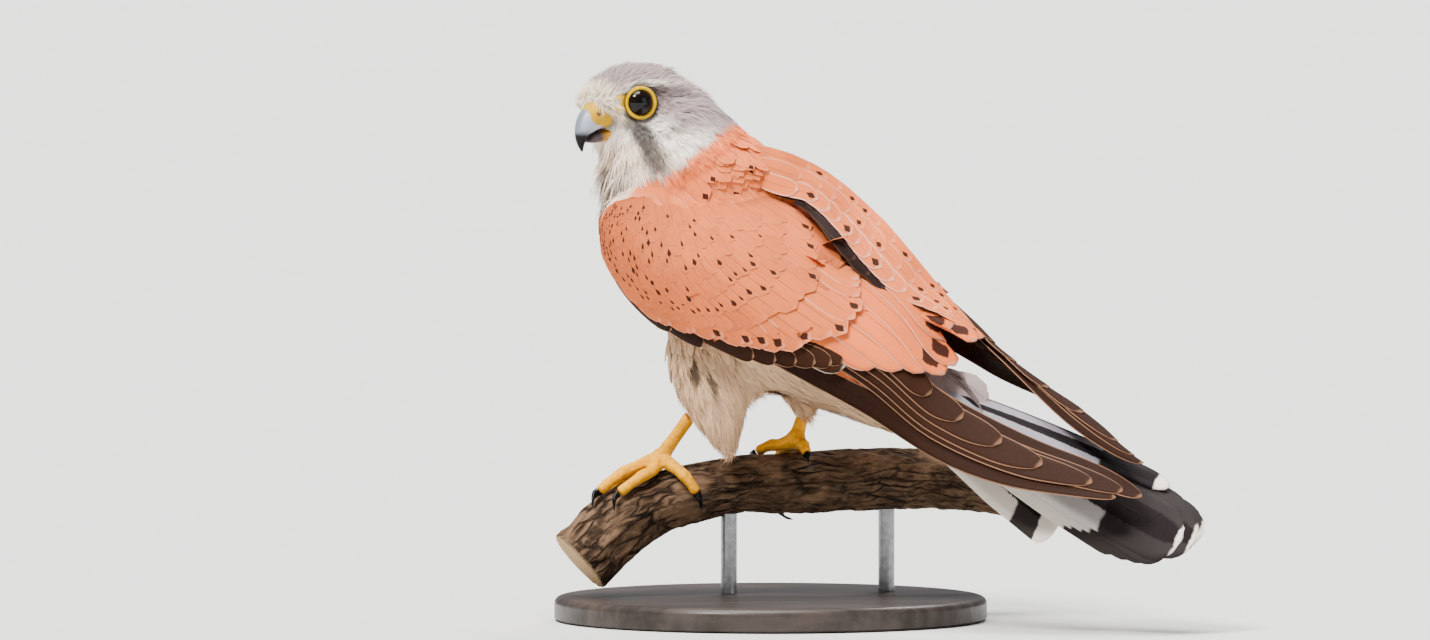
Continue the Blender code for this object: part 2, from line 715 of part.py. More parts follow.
CERE = ((9.4, 3.4, 8.4, -8.4, 7.1), (11.2, 2.6, 10.0, -8.6, 6.5), (13.4, 1.0, 12.3, -8.9, 5.4))
UPPER_BILL = ((13.8, 0.6, 12.6, -9.0, 5.2), (16.2, -0.7, 14.8, -9.7, 4.4), (18.6, -2.8, 16.6, -10.7, 3.4),
              (20.5, -6.0, 17.5, -12.0, 2.5), (21.4, -9.4, 18.2, -13.4, 1.7), (21.0, -12.8, 18.7, -14.8, 1.0),
              (19.7, -15.6, 19.0, -16.0, 0.4))
LOWER_BILL = ((9.0, -8.95, 8.4, -13.3, 5.4), (12.0, -9.25, 11.6, -13.5, 4.5), (14.6, -10.2, 14.6, -13.4, 3.3),
              (16.4, -11.7, 16.5, -12.9, 1.7))


def bill_form(name, sections, power=2.2):
    rings = []
    for f_top, u_top, f_low, u_low, half in sections:
        top = on_head(f_top, 0, u_top)
        low = on_head(f_low, 0, u_low)
        mid = (top + low) / 2
        side = on_head(0, 1, 0) - on_head(0, 0, 0)
        rings.append(ellipse_ring(mid, (top - low).normalized(), side, (top - low).length / 2,
                                  (top - low).length / 2, half, 16, power))
    return loft(name, rings)


def nostril(side):
    centre = on_head(11.6, side * 5.9, -2.9)
    return ball("nostril", centre, 1.0, segments=10, rings=6)


def mouth_line():
    """Thin wedge between the jaws, from the gape forward."""
    rings = []
    for forward, up, half in ((2.6, -10.9, 13), (5.5, -9.6, 13), (9.6, -8.75, 12)):
        ring = [on_head(forward, half, up + 0.22), on_head(forward, -half, up + 0.22),
                on_head(forward, -half, up - 0.22), on_head(forward, half, up - 0.22)]
        rings.append(ring)
    return loft("mouth_line", rings)


BRANCH = ((-56.0, -15.1, 21.8, 13.6), (-51.1, -13.8, 26.2, 13.5), (-42.6, -11.5, 33.5, 13.6),
          (-31.5, -8.5, 41.1, 12.5), (-11.1, -3.0, 47.1, 11.3), (3.7, 1.0, 49.8, 11.1),
          (25.9, 7.0, 50.0, 11.6), (51.8, 14.0, 51.1, 11.6), (77.7, 21.0, 50.3, 11.1), (103.6, 28.0, 47.3, 11.5))


def branch_at(s):
    """Middle, radius, direction, up and near side of the branch at a station, in unshifted mm."""
    here = spline(BRANCH, s)
    near = spline(BRANCH, max(s - 0.05, 0))
    far = spline(BRANCH, min(s + 0.05, len(BRANCH) - 1.001))
    middle = Vector(here[:3])
    along = (Vector(far[:3]) - Vector(near[:3])).normalized()
    out = Vector((0, 0, 1)).cross(along).normalized() * -1
    up = along.cross(out) * -1
    if up.z < 0:
        up = -up
    return middle, here[3], along, up, out


def branch_station(x):
    for k in range(len(BRANCH) - 1):
        if BRANCH[k][0] <= x <= BRANCH[k + 1][0]:
            return k + (x - BRANCH[k][0]) / (BRANCH[k + 1][0] - BRANCH[k][0])
    return 0.0 if x < BRANCH[0][0] else len(BRANCH) - 1.001


def branch_form(name, grow=0.0, where=cutters):
    waves = random.Random(5)
    ripples = [(waves.uniform(1, 5) // 1, waves.uniform(0.15, 0.6), waves.uniform(0, 6)) for _ in range(6)]
    bm = bmesh.new()
    rows = []
    count = 12
    steps = 16
    for k in range(steps + 1):
        s = (len(BRANCH) - 1.001) * k / steps
        middle, radius, along, up, out = branch_at(s)
        row = []
        for j in range(count):
            angle = math.tau * j / count
            wave = sum(0.2 * math.sin(n * angle + f * s * 2.4 + p) for n, f, p in ripples)
            spoke = up * math.cos(angle) + out * math.sin(angle)
            row.append(bm.verts.new((middle + spoke * (radius + wave + grow) - STAND_SHIFT) * MM))
        rows.append(row)
    for low, high in zip(rows, rows[1:]):
        for j in range(count):
            n = (j + 1) % count
            bm.faces.new((low[j], low[n], high[n], high[j]))
    bm.faces.new(rows[0][::-1])
    bm.faces.new(rows[-1])
    bmesh.ops.triangulate(bm, faces=bm.faces)
    bmesh.ops.recalc_face_normals(bm, faces=bm.faces)
    return new_object(name, bm, where)


def from_world(w):
    """Bird-frame point from a point in mm measured before the shift to the stand's middle."""
    cy = math.cos(BODY_YAW)
    sy = math.sin(BODY_YAW)
    return Vector((-cy * w[0] + sy * w[1], -sy * w[0] - cy * w[1], w[2] - PERCH_LEVEL))


def on_branch(x, angle, lift):
    """Point above the branch's skin, its angle counted from the top towards the near side."""
    middle, radius, along, up, out = branch_at(branch_station(x))
    turn = math.radians(angle)
    return from_world(middle + (up * math.cos(turn) + out * math.sin(turn)) * (radius + lift))


def smooth_path(points, steps):
    last = len(points) - 1
    return [spline(points, last * k / steps) for k in range(steps + 1)]


FEET = {
    "left": {
        "joint": (-21.6, 2, 4.2), "heel": (-2, 21, 22),
        "toes": (((-27.5, 4, 3.6), (-33.5, 7, 3.4), (-38.3, 8, 2.4)),
                 ((-26, 27, 2.9), (-31, 34, 3.1), (-35.5, 38, 2.1)),
                 ((-27, -28, 2.8), (-32, -38, 3.2), (-36, -42, 2.1)),
                 ((-19.5, 36, 3.3), (-17.5, 60, 3.4), (-16, 79, 2.2))),
        "claws": (((-41.6, 14, 3.4), (-44.3, 26, 1.5)), ((-38.6, 46, 3.0), (-40.6, 56, 1.4)),
                  ((-39, -46, 2.9), (-41, -50, 1.4)), ((-15.2, 95, 3.2), (-15.0, 112, 1.5))),
    },
    "right": {
        "joint": (25.2, -5, 4.6), "heel": (-19.5, -27, 24),
        "toes": (((22.5, -36, 2.9), (21, -78, 3.0), (21, -116, 2.3)),
                 ((20.5, -14, 3.0), (16.5, -21, 3.2), (13.2, -30, 2.1)),
                 ((28, -40, 2.7), (30, -78, 2.8), (30, -108, 2.1)),
                 ((26, 12, 3.4), (26.4, 23, 3.4), (26.5, 32, 2.5))),
        "claws": (((21.6, -146, 3.6), (23.6, -176, 2.2)), ((11.2, -44, 3.0), (10.0, -56, 1.4)),
                  ((30.5, -132, 2.9), (30.5, -152, 1.4)), ((26.4, 42, 3.4), (26.4, 55, 1.5))),
    },
}
TOE_R = ((3.0, 2.5, 2.0), (2.7, 2.3, 1.9), (2.6, 2.2, 1.8), (2.7, 2.4, 1.9))


def leg(label, branch_skin, trouser):
    spec = FEET[label]
    joint = on_branch(*spec["joint"])
    heel = Vector(spec["heel"])
    pieces = [ball("hub", joint, 3.9, segments=10, rings=6)]
    claws = []
    for k, toe in enumerate(spec["toes"]):
        path = [joint] + [on_branch(*p) for p in toe]
        steps = 5
        points = smooth_path(path, steps)
        r0, r1, r2 = TOE_R[k]
        radii = [max(r0 + (r2 - r0) * j / steps, 0.5) + (0.25 if j % 2 else -0.1) for j in range(steps + 1)]
        hint = (points[-1] - points[0]).cross(Vector((0, 0, 1)))
        hint = Vector((0.2, 0.3, 1.0)) if hint.length < 1 else hint.cross(points[-1] - points[0]).normalized()
        tip = points[-1]
        lead = (points[-1] - points[-2]).normalized()
        points.append(tip + lead * 1.1)
        radii.append(radii[-1] * 0.55)
        pieces.append(loft("toe", tube_rings(points, radii, 8, 1.0, hint)))
        claw = [on_branch(*p) for p in spec["claws"][k]]
        claw_path = smooth_path([tip - lead * 0.6, tip + lead * 1.8, claw[0], claw[1]], 5)
        size = 1.75 if k in (0, 3) else 1.5
        claw_radii = [size * f for f in (0.9, 1.0, 0.85, 0.64, 0.4, 0.14)]
        claws.append(loft("claw", tube_rings(claw_path, claw_radii, 6, 1.15, hint)))
    shank = [heel + (heel - joint).normalized() * 6, heel, heel.lerp(joint, 0.35), heel.lerp(joint, 0.7), joint]
    pieces.append(loft("shank", tube_rings(shank, (2.6, 3.1, 2.5, 2.45, 3.0), 10, 1.0, Vector((0, 1, 0.1)))))
    foot = fuse("foot_" + label, pieces)
    boolean(foot, "DIFFERENCE", branch_skin)
    boolean(foot, "DIFFERENCE", trouser)
    keep_largest(foot)
    finished(foot, "foot_" + label, mats["foot"])
    socket = copy_of(foot, "socket")
    swell(socket, GAP)
    for k, claw in enumerate(claws):
        boolean(claw, "DIFFERENCE", socket)
        boolean(claw, "DIFFERENCE", branch_skin)
        keep_largest(claw)
        finished(claw, f"claw_{label}_{k + 1}", mats["claw"])
    discard(socket)


def swell(obj, amount):
    mod = obj.modifiers.new("swell", "DISPLACE")
    mod.mid_level = 0.0
    mod.strength = amount * MM
    return applied(obj)


mats = {
    "flesh": material("plumage_buff", (0.62, 0.45, 0.33)),
    "mantle": material("plumage_chestnut", (0.62, 0.30, 0.17)),
    "head": material("plumage_grey", (0.33, 0.31, 0.34)),
    "tail": material("plumage_tail", (0.36, 0.36, 0.39)),
    "eye": material("eye", (0.01, 0.008, 0.007), 0.08),
    "cere": material("cere", (0.85, 0.62, 0.08), 0.5),
    "bill": material("bill", (0.16, 0.19, 0.24), 0.35),
    "foot": material("foot", (0.85, 0.55, 0.10), 0.55),
    "claw": material("claw", (0.02, 0.018, 0.018), 0.3),
    "bark": material("bark", (0.32, 0.26, 0.20), 0.9),
    "stand": material("stand", (0.72, 0.72, 0.70), 0.5),
}
wing_mats = {"coverts": mats["mantle"], "secondaries": material("flight_secondary", (0.22, 0.16, 0.13)),
             "primaries": material("flight_primary", (0.12, 0.09, 0.08)), "alula": material("alula", (0.14, 0.10, 0.09))}


def build_flesh():
    """Trunk and head as one smooth body, parted where a person would name its parts."""
    forms = [torso_form(), head_form(), brow_form(1), brow_form(-1)]
    body = forms[0]
    group = bpy.data.collections.new("flesh_forms")
    bpy.context.scene.collection.children.link(group)
    for form in forms[1:]:
        cutters.objects.unlink(form)
        group.objects.link(form)
    boolean(body, "UNION", group)
    discard(*forms[1:])
    bpy.data.collections.remove(group)
    remesh = body.modifiers.new("remesh", "REMESH")
    remesh.mode = "VOXEL"
    remesh.voxel_size = 1.2 * MM
    smooth = body.modifiers.new("smooth", "SMOOTH")
    smooth.factor = 0.5
    smooth.iterations = 8
    applied(body)
    thin = body.modifiers.new("thin", "DECIMATE")
    thin.ratio = 1400 / len(body.data.polygons) / 2
    applied(body)
    return body


def build():
    body = build_flesh()
    body_skin = swell(copy_of(body, "body_skin"), GAP)
    trousers = {}
    for label, sections in (("left", THIGH_LEFT), ("right", THIGH_RIGHT)):
        thigh = thigh_form(sections, "thigh")
        boolean(thigh, "DIFFERENCE", body_skin)
        keep_largest(thigh)
        trousers[label] = thigh
    for label in wings:
        cutter = wing_cutter(label)
        boolean(body, "DIFFERENCE", cutter)
        boolean(trousers[label], "DIFFERENCE", cutter)
        discard(cutter)
    slot = tail_slab("slot", (-61, -68, -75, -82, -90, -98, -130), (11, 12, 13, 15, 18, 21, 34), 1.6, -4.6, GAP)
    boolean(body, "DIFFERENCE", slot)
    keep_largest(body)
    discard(slot, body_skin)

    for side, label in ((1, "left"), (-1, "right")):
        eye = ball("eye", eye_centre(side), EYE_R, segments=14, rings=8, axis=eye_axis(side))
        finished(eye, "eye_" + label, mats["eye"])

    cuts = (((34, 0, 111), (0.30, 0, 0.95)), ((20, 0, 90), (0.5, 0, 0.86)), ((-46, 0, 41), (0.88, 0, 0.47)))
    names = ("head", "neck", "torso", "rump")
    rest = body
    for name, (point, normal) in zip(names, cuts):
        way = Vector(normal).normalized()
        part = keep_side(rest, Vector(point) + way * GAP / 2, way, name)
        below = keep_side(rest, Vector(point) - way * GAP / 2, -way, "rest")
        discard(rest)
        rest = below
        finished(keep_largest(part), name, mats["head"] if name in ("head", "neck") else mats["mantle"])
    finished(keep_largest(rest), "rump", mats["mantle"])

    head = bpy.data.objects["head"]
    slot = bill_form("slot", tuple((f1 - GAP, u1 + GAP, f2 - GAP, u2 - GAP, half + GAP) for f1, u1, f2, u2, half in
                                   (*CERE, (30, -6, 28, -20, 5))))
    boolean(head, "DIFFERENCE", slot)
    discard(slot)
    jaw = loft("jaw", [[on_head(f, side, up) for side, up in ((-20, -0.8), (20, -0.8), (20, -30), (-20, -30))]
                       for f in (8.0, 30)])
    boolean(head, "DIFFERENCE", jaw)
    discard(jaw)
    head = fuse("head", [head, lid(1), lid(-1)])
    for side in (1, -1):
        hole = ball("hole", eye_centre(side), EYE_R + GAP, segments=14, rings=8, axis=eye_axis(side))
        boolean(head, "DIFFERENCE", hole)
        discard(hole)
    slit = mouth_line()
    boolean(head, "DIFFERENCE", slit)
    discard(slit)
    finished(keep_largest(head), "head", mats["head"])

    cere = bill_form("cere", CERE)
    for side in (1, -1):
        hole = nostril(side)
        boolean(cere, "DIFFERENCE", hole)
        discard(hole)
    finished(keep_largest(cere), "cere", mats["cere"])
    finished(bill_form("bill_upper", UPPER_BILL), "bill_upper", mats["bill"])
    finished(bill_form("bill_lower", LOWER_BILL), "bill_lower", mats["bill"])

    for label in wings:
        wing_nodes(label)

    tail = lighter(fuse("tail_feathers", tail_pieces()), 0.6)
    finished(tail, "tail_feathers", mats["tail"])

    branch_skin = branch_form("branch_skin", GAP)
    for label in ("left", "right"):
        trouser = swell(copy_of(trousers[label], "trouser"), GAP)
        leg(label, branch_skin, trouser)
        discard(trouser)
        boolean(trousers[label], "DIFFERENCE", branch_skin)
        finished(keep_largest(trousers[label]), "thigh_" + label, mats["flesh"])
    for k, x in enumerate(ROD_X):
        middle = branch_at(branch_station(x))[0]
        bm = bmesh.new()
        height = middle.z - BASE_H - GAP
        bmesh.ops.create_cone(bm, cap_ends=True, segments=20, radius1=ROD_R * MM, radius2=ROD_R * MM, depth=height * MM)
        foot = Vector((middle.x, middle.y, BASE_H + GAP + height / 2)) - STAND_SHIFT
        bmesh.ops.translate(bm, vec=foot * MM, verts=bm.verts)
        rod = new_object("rod", bm, cutters)
        boolean(rod, "DIFFERENCE", branch_skin)
        finished(keep_largest(rod), f"stand_rod_{k + 1}", mats["stand"])
    discard(branch_skin)
    finished(branch_form("perch_branch"), "perch_branch", mats["bark"])

    bm = bmesh.new()
    bmesh.ops.create_cone(bm, cap_ends=True, segments=48, radius1=BASE_R * MM, radius2=BASE_R * MM, depth=BASE_H * MM)
    bmesh.ops.translate(bm, vec=Vector((0, 0, BASE_H / 2)) * MM, verts=bm.verts)
    rim = [e for e in bm.edges if all(v.co.z > BASE_H * 0.9 * MM for v in e.verts)]
    bmesh.ops.bevel(bm, geom=rim, offset=1.5 * MM, segments=2, affect="EDGES", profile=0.5)
    finished(new_object("base", bm, cutters), "stand_base", mats["stand"])


build()
bpy.data.collections.remove(cutters)
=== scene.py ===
"""Looks of the common kestrel on its cut branch and display stand.

Sizes are in millimetres in the bird's own frame, as in the solids: a runs forward along its
body, b to its left, c up. world() turns them into metres of the shared frame.
"""
import math

import bpy
import bmesh
import numpy as np
from bpy.props import FloatProperty, FloatVectorProperty, IntProperty, PointerProperty
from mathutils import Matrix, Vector, bvhtree, noise

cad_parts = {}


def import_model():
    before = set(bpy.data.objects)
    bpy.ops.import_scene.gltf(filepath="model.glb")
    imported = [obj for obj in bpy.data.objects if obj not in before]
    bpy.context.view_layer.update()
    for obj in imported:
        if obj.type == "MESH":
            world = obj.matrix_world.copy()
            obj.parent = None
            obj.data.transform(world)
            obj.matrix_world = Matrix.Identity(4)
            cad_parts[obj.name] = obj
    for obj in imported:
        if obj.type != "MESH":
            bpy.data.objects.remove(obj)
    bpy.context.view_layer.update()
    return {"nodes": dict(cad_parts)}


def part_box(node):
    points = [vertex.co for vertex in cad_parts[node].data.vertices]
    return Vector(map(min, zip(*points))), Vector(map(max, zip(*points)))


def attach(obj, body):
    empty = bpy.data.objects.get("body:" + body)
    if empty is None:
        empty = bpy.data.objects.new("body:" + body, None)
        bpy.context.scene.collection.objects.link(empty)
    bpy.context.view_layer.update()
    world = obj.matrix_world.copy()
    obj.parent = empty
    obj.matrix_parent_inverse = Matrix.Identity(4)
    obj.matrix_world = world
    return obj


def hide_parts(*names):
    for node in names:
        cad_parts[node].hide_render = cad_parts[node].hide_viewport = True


bl_info = {
    "name": "Common kestrel",
    "version": (1, 0, 0),
    "blender": (4, 5, 0),
    "location": "3D View > Sidebar > Kestrel",
    "description": "Feathers, skin, perch and stand of a life-size kestrel model",
    "category": "Object",
}

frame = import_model()

MM = 0.001
# Turn of the bird, height of its frame over the table and its shift from the stand's middle (mm)
BODY_YAW = math.radians(30)
PERCH_LEVEL = 62.5
STAND_SHIFT = (15.0, -10.0)
# Middle of the head in the bird's frame (mm), its turn to the left and its pitch
HEAD_AT = np.array((43.4, 8.0, 128.4))
HEAD_TURN = math.radians(70)
HEAD_PITCH = math.radians(7)
# Eye (mm, on the head): radius, distance from the middle, the way it looks, and radius of its pit
EYE_R = 5.6
EYE_SIDE = 11.9
EYE_AXIS = (0.28, 0.95, 0.05)
EYE_PIT = 6.5
# Place of the tail's root, along and up (mm), and the slope of the tail
TAIL_ROOT = (-52.6, 48.1)
TAIL_SLOPE = 0.537
BODY = "root"
VIEW_RISE = math.radians(3.0)
VIEW_TARGET = (-0.02055, 0.010, 0.1106)
VIEW_DISTANCE = 8.818
LENS = 600
# Directions in the bird's frame that run across and up the photo
SEEN_ACROSS = np.array((-0.866, -0.5, 0.0))
SEEN_UP = np.array((0.026, -0.045, 1.0))

# Folded wings, from the bend to the tip: lower edge, middle and upper edge (mm)
LEFT_WING = np.array((
    ((39.7, 29, 83.3), (37.1, 29, 91.1), (33.3, 20, 97.1)),
    ((32.2, 36, 70.4), (22.3, 39, 85.7), (19.9, 21, 99.7)),
    ((15.9, 39, 55.1), (1.1, 44, 76.1), (3.0, 17, 98.5)),
    ((-11.6, 40, 40.7), (-27.0, 43, 68.6), (-19.4, 10, 96.6)),
    ((-42.9, 38, 27.3), (-54.4, 38, 54.3), (-46.5, 5, 79.3)),
    ((-76.9, 37, 15.6), (-82.8, 31, 37.7), (-76.5, 3, 57.0)),
    ((-103.5, 35, 6.2), (-102.7, 24, 19.3), (-97.2, 4, 34.2)),
    ((-136.0, 32, -4.6), (-134.0, 19, 3.6), (-133.6, 5, 10.8)),
    ((-164.8, 22, -10.2), (-163.0, 13, -6.3), (-162.2, 5, -2.6)),
    ((-181.6, 9, -13.4), (-181.1, 8, -12.9), (-180.5, 7, -12.4)),
))
RIGHT_WING = np.array((
    ((31.7, -32, 92), (27.5, -29, 103), (24, -18, 110)),
    ((22.2, -41, 83), (12.0, -37, 100), (13, -14.6, 109.5)),
    ((4, -46, 69), (-8, -40, 99), (-6, -9, 107.5)),
    ((-23, -46, 57), (-32, -40, 91), (-24, -6, 97)),
    ((-52, -43, 44), (-59, -38, 68), (-49.9, -6, 77.5)),
    ((-84, -38, 33), (-87, -31, 49.5), (-77, -6, 56.5)),
    ((-106, -30, 28), (-106, -20, 39), (-100.6, -7, 43.5)),
    ((-137, -22, 18), (-135, -13, 21.8), (-133, -5, 18.6)),
    ((-161, -13, 4.5), (-159.5, -8, 7.0), (-158, -3.5, 6.4)),
    ((-176, -4.4, -1.4), (-175.4, -3.7, -0.8), (-175, -3, -0.6)),
))


def linear(red, green, blue):
    """Scene colour of a screen colour given in 0 to 255."""
    screen = (red / 255, green / 255, blue / 255)
    return tuple(v / 12.92 if v < 0.042 else ((v + 0.055) / 1.055) ** 2.4 for v in screen)


def colour(name, text, rgb):
    tone = linear(*rgb)
    return FloatVectorProperty(name=name, description=text, default=tone, subtype="COLOR", min=0, max=1)


def length(name, text, millimetres):
    size = millimetres * MM
    return FloatProperty(name=name, description=text, default=size, unit="LENGTH", min=0, precision=4)


class KestrelSizes(bpy.types.PropertyGroup):
    coat_depth: length("Coat depth", "How far the skin lies under the solids", 1.6)
    skin_voxel: length("Skin voxel", "Grain of the skin's mesh", 1.1)
    face_spacing: length("Face spacing", "Least distance between tufts of the face", 0.72)
    neck_spacing: length("Neck spacing", "Least distance between tufts of the neck", 0.95)
    mantle_spacing: length("Mantle spacing", "Least distance between feathers of the mantle", 1.7)
    breast_spacing: length("Breast spacing", "Least distance between feathers of the breast", 1.7)
    thigh_spacing: length("Thigh spacing", "Least distance between tufts of the legs and belly", 1.3)
    face_length: length("Face length", "Length of a tuft of the face", 4.2)
    neck_length: length("Neck length", "Length of a tuft of the neck", 7.0)
    mantle_length: length("Mantle length", "Length of a feather of the mantle", 10.0)
    breast_length: length("Breast length", "Length of a feather of the breast", 9.0)
    thigh_length: length("Thigh length", "Length of a tuft of the legs and belly", 9.0)
    vane_thickness: length("Vane thickness", "Thickness of a flight or tail feather", 0.3)
    seed: IntProperty(name="Seed", description="Seed of every random draw", default=7, min=0)


class KestrelColours(bpy.types.PropertyGroup):
    # Chestnut also carries painted shade, darker on the coverts and on the skin under them, and painted
    # light on the mantle
    chestnut: colour("Chestnut", "Mantle and wing coverts", (222, 112, 60))
    crown: colour("Grey", "Crown, nape and rump", (160, 142, 138))
    cheek: colour("Cheek", "Cheek and throat", (255, 247, 233))
    buff: colour("Buff", "Breast and flanks", (222, 180, 140))
    belly: colour("Belly", "Belly, thighs and under the tail", (206, 168, 132))
    # Dark also paints shade: the shadow in the cleft between the wings and the dish round each eye
    dark: colour("Dark", "Spots, streaks and the stripe below the eye", (24, 17, 17))
    flight: colour("Flight", "Primaries and secondaries", (47, 26, 16))
    edge: colour("Edge", "Pale edges of the flight feathers", (160, 118, 90))
    tail_grey: colour("Tail grey", "Upper side of the tail", (132, 130, 142))
    tail_white: colour("Tail white", "Tips and outer feathers of the tail", (236, 222, 208))
    # Yellow is painted darker as shade where the feet face down
    yellow: colour("Yellow", "Cere, ring of the eye and legs", (255, 178, 0))
    horn: colour("Horn", "Base of the bill", (168, 176, 192))
    # Black also paints shade in the nostrils, along the top of the lower bill and at the edges of the eye
    # rings
    black: colour("Black", "Tip of the bill, and claws", (16, 14, 16))
    iris: colour("Iris", "Iris of the eye", (30, 18, 14))
    bark: colour("Bark", "Raised bark", (116, 90, 68))
    bark_deep: colour("Bark deep", "Cracks of the bark", (34, 24, 17))
    wood: colour("Wood", "Cut ends of the branch", (196, 160, 118))
    metal: colour("Metal", "Rods of the stand", (150, 150, 152))
    base: colour("Base", "Base of the stand", (58, 50, 46))
    floor: colour("Floor", "Floor", (214, 214, 210))


def sizes():
    return bpy.context.scene.kestrel_sizes


def colours():
    return bpy.context.scene.kestrel_colours


def palette():
    """Every colour of the panel by name."""
    return {name: np.array(getattr(colours(), name)) for name in KestrelColours.__annotations__}


def world(points):
    """Metres of the shared frame from millimetres of the bird's frame."""
    p = np.asarray(points, float)
    a, b, c = p[..., 0], p[..., 1], p[..., 2]
    cy = math.cos(BODY_YAW)
    sy = math.sin(BODY_YAW)
    x = -cy * a - sy * b - STAND_SHIFT[0]
    y = sy * a - cy * b - STAND_SHIFT[1]
    return np.stack((x, y, c + PERCH_LEVEL), -1) * MM


def world_way(ways):
    """Direction in the shared frame of a direction in the bird's frame."""
    return (world(ways) - world(np.zeros(3))) / MM


def bird(points):
    """Millimetres of the bird's frame from metres of the shared frame."""
    p = np.asarray(points, float) / MM
    x = p[..., 0] + STAND_SHIFT[0]
    y = p[..., 1] + STAND_SHIFT[1]
    cy = math.cos(BODY_YAW)
    sy = math.sin(BODY_YAW)
    return np.stack((-cy * x + sy * y, -sy * x - cy * y, p[..., 2] - PERCH_LEVEL), -1)


def on_head(forward, left, up):
    """Bird-frame point from the head's own axes."""
    level = forward * math.cos(HEAD_PITCH) + up * math.sin(HEAD_PITCH)
    rise = up * math.cos(HEAD_PITCH) - forward * math.sin(HEAD_PITCH)
    return np.array((HEAD_AT[0] + level * math.cos(HEAD_TURN) - left * math.sin(HEAD_TURN),
                     HEAD_AT[1] + level * math.sin(HEAD_TURN) + left * math.cos(HEAD_TURN),
                     HEAD_AT[2] + rise))


def head_axes(p):
    """Forward, left and up on the head of bird-frame points."""
    d = np.asarray(p, float) - HEAD_AT
    level = d[..., 0] * math.cos(HEAD_TURN) + d[..., 1] * math.sin(HEAD_TURN)
    left = -d[..., 0] * math.sin(HEAD_TURN) + d[..., 1] * math.cos(HEAD_TURN)
    up = d[..., 2]
    return np.stack((level * math.cos(HEAD_PITCH) - up * math.sin(HEAD_PITCH), left,
                     up * math.cos(HEAD_PITCH) + level * math.sin(HEAD_PITCH)), -1)


def half_head(p):
    """Forward, aside and up on the head of bird-frame points, alike on both sides."""
    h = head_axes(p)
    return np.stack((h[:, 0], np.abs(h[:, 1]), h[:, 2]), -1)


def over_tail(p):
    """Height of bird-frame points over the slope of the tail, measured at its root."""
    return p[:, 2] - TAIL_SLOPE * (p[:, 0] - TAIL_ROOT[0])


def over_grey(p):
    """Height of bird-frame points over the slanting line where the grey of the head ends."""
    a, b, z = p.T
    level, slope, side = GREY_EDGE
    return z - (level + slope * a + side * np.where(b > 0, b, -0.4 * b))


def smooth(x, low, high):
    """Soft step from 0 at low to 1 at high."""
    f = np.clip((np.asarray(x, float) - low) / (high - low), 0, 1)
    return f * f * (3 - 2 * f)


def unit(v):
    return v / np.maximum(np.linalg.norm(v, axis=-1, keepdims=True), 1e-9)


def stroke(p, start, end, width, soft):
    """Weight of a brush stroke between two points, 1 inside it and 0 beyond its soft edge."""
    start = np.asarray(start, float)
    way = np.asarray(end, float) - start
    share = np.clip(((p - start) @ way) / max(way @ way, 1e-9), 0, 1)
    gap = np.linalg.norm(p - start - share[..., None] * way, axis=-1)
    return 1 - smooth(gap, width, width + soft)


def over(base, paint, weight):
    """Colours with a paint laid over them by its weight at each point."""
    weight = np.clip(weight, 0, 1)[:, None]
    return base * (1 - weight) + paint * weight


def between(p0, p1, p2, p3, f):
    """Place on the smooth line through four points, a share f of the way from the second to the third."""
    return 0.5 * (2 * p1 + (p2 - p0) * f + (2 * p0 - 5 * p1 + 4 * p2 - p3) * f * f
                  + (3 * p1 - p0 - 3 * p2 + p3) * f ** 3)


class Wing:
    """Outer surface of a folded wing: t runs from the bend to the tip, q from the lower rail up."""

    def __init__(self, table, side):
        self.side = side
        self.table = table

    def rail(self, k, t):
        rail = self.table[:, k]
        last = len(rail) - 1
        t = np.clip(t, 0, last - 1e-6)
        i = t.astype(int)
        f = (t - i)[..., None]
        p1 = rail[i]
        p2 = rail[i + 1]
        p0 = np.where((i > 0)[..., None], rail[np.maximum(i - 1, 0)], 2 * p1 - p2)
        p3 = np.where((i + 2 <= last)[..., None], rail[np.minimum(i + 2, last)], 2 * p2 - p1)
        return between(p0, p1, p2, p3, f)

    def at(self, t, q):
        t = np.asarray(t, float)
        q = np.asarray(q, float)[..., None]
        return (self.rail(0, t) * (2 * (q - 0.5) * (q - 1)) + self.rail(1, t) * (4 * q * (1 - q))
                + self.rail(2, t) * (2 * q * (q - 0.5)))

    def frame(self, t, q):
        """Point, change per t, change per q and outward normal."""
        low = np.clip(t, 0.0, 8.79)
        per_t = (self.at(low + 0.12, q) - self.at(low, q)) / 0.12
        per_q = (self.at(t, q + 0.04) - self.at(t, q - 0.04)) / 0.08
        out = unit(np.cross(per_t, per_q)) * self.side
        return self.at(t, q), per_t, per_q, out


WINGS = {"left": Wing(LEFT_WING, 1), "right": Wing(RIGHT_WING, -1)}


def mesh_object(name, points, faces, smooth_shade=True):
    """Object of a new mesh whose place is in its vertices."""
    mesh = bpy.data.meshes.new(name)
    mesh.from_pydata([tuple(p) for p in points], [], [tuple(f) for f in faces])
    mesh.validate()
    if smooth_shade:
        mesh.shade_smooth()
    obj = bpy.data.objects.new(name, mesh)
    bpy.context.scene.collection.objects.link(obj)
    return obj


def plain_mesh(obj):
    """Turn the object's evaluated result into its mesh, and drop its modifiers."""
    graph = bpy.context.evaluated_depsgraph_get()
    mesh = bpy.data.meshes.new_from_object(obj.evaluated_get(graph), preserve_all_data_layers=True,
                                           depsgraph=graph)
    obj.modifiers.clear()
    obj.data = mesh
    mesh.name = obj.name
    return obj


def copy_of(name, nodes):
    """Object with one mesh, its doubles merged, of copies of the named solids."""
    bm = bmesh.new()
    for node in nodes:
        bm.from_mesh(frame["nodes"][node].data)
    bmesh.ops.remove_doubles(bm, verts=bm.verts, dist=0.00001)
    mesh = bpy.data.meshes.new(name)
    bm.to_mesh(mesh)
    bm.free()
    obj = bpy.data.objects.new(name, mesh)
    bpy.context.scene.collection.objects.link(obj)
    return obj


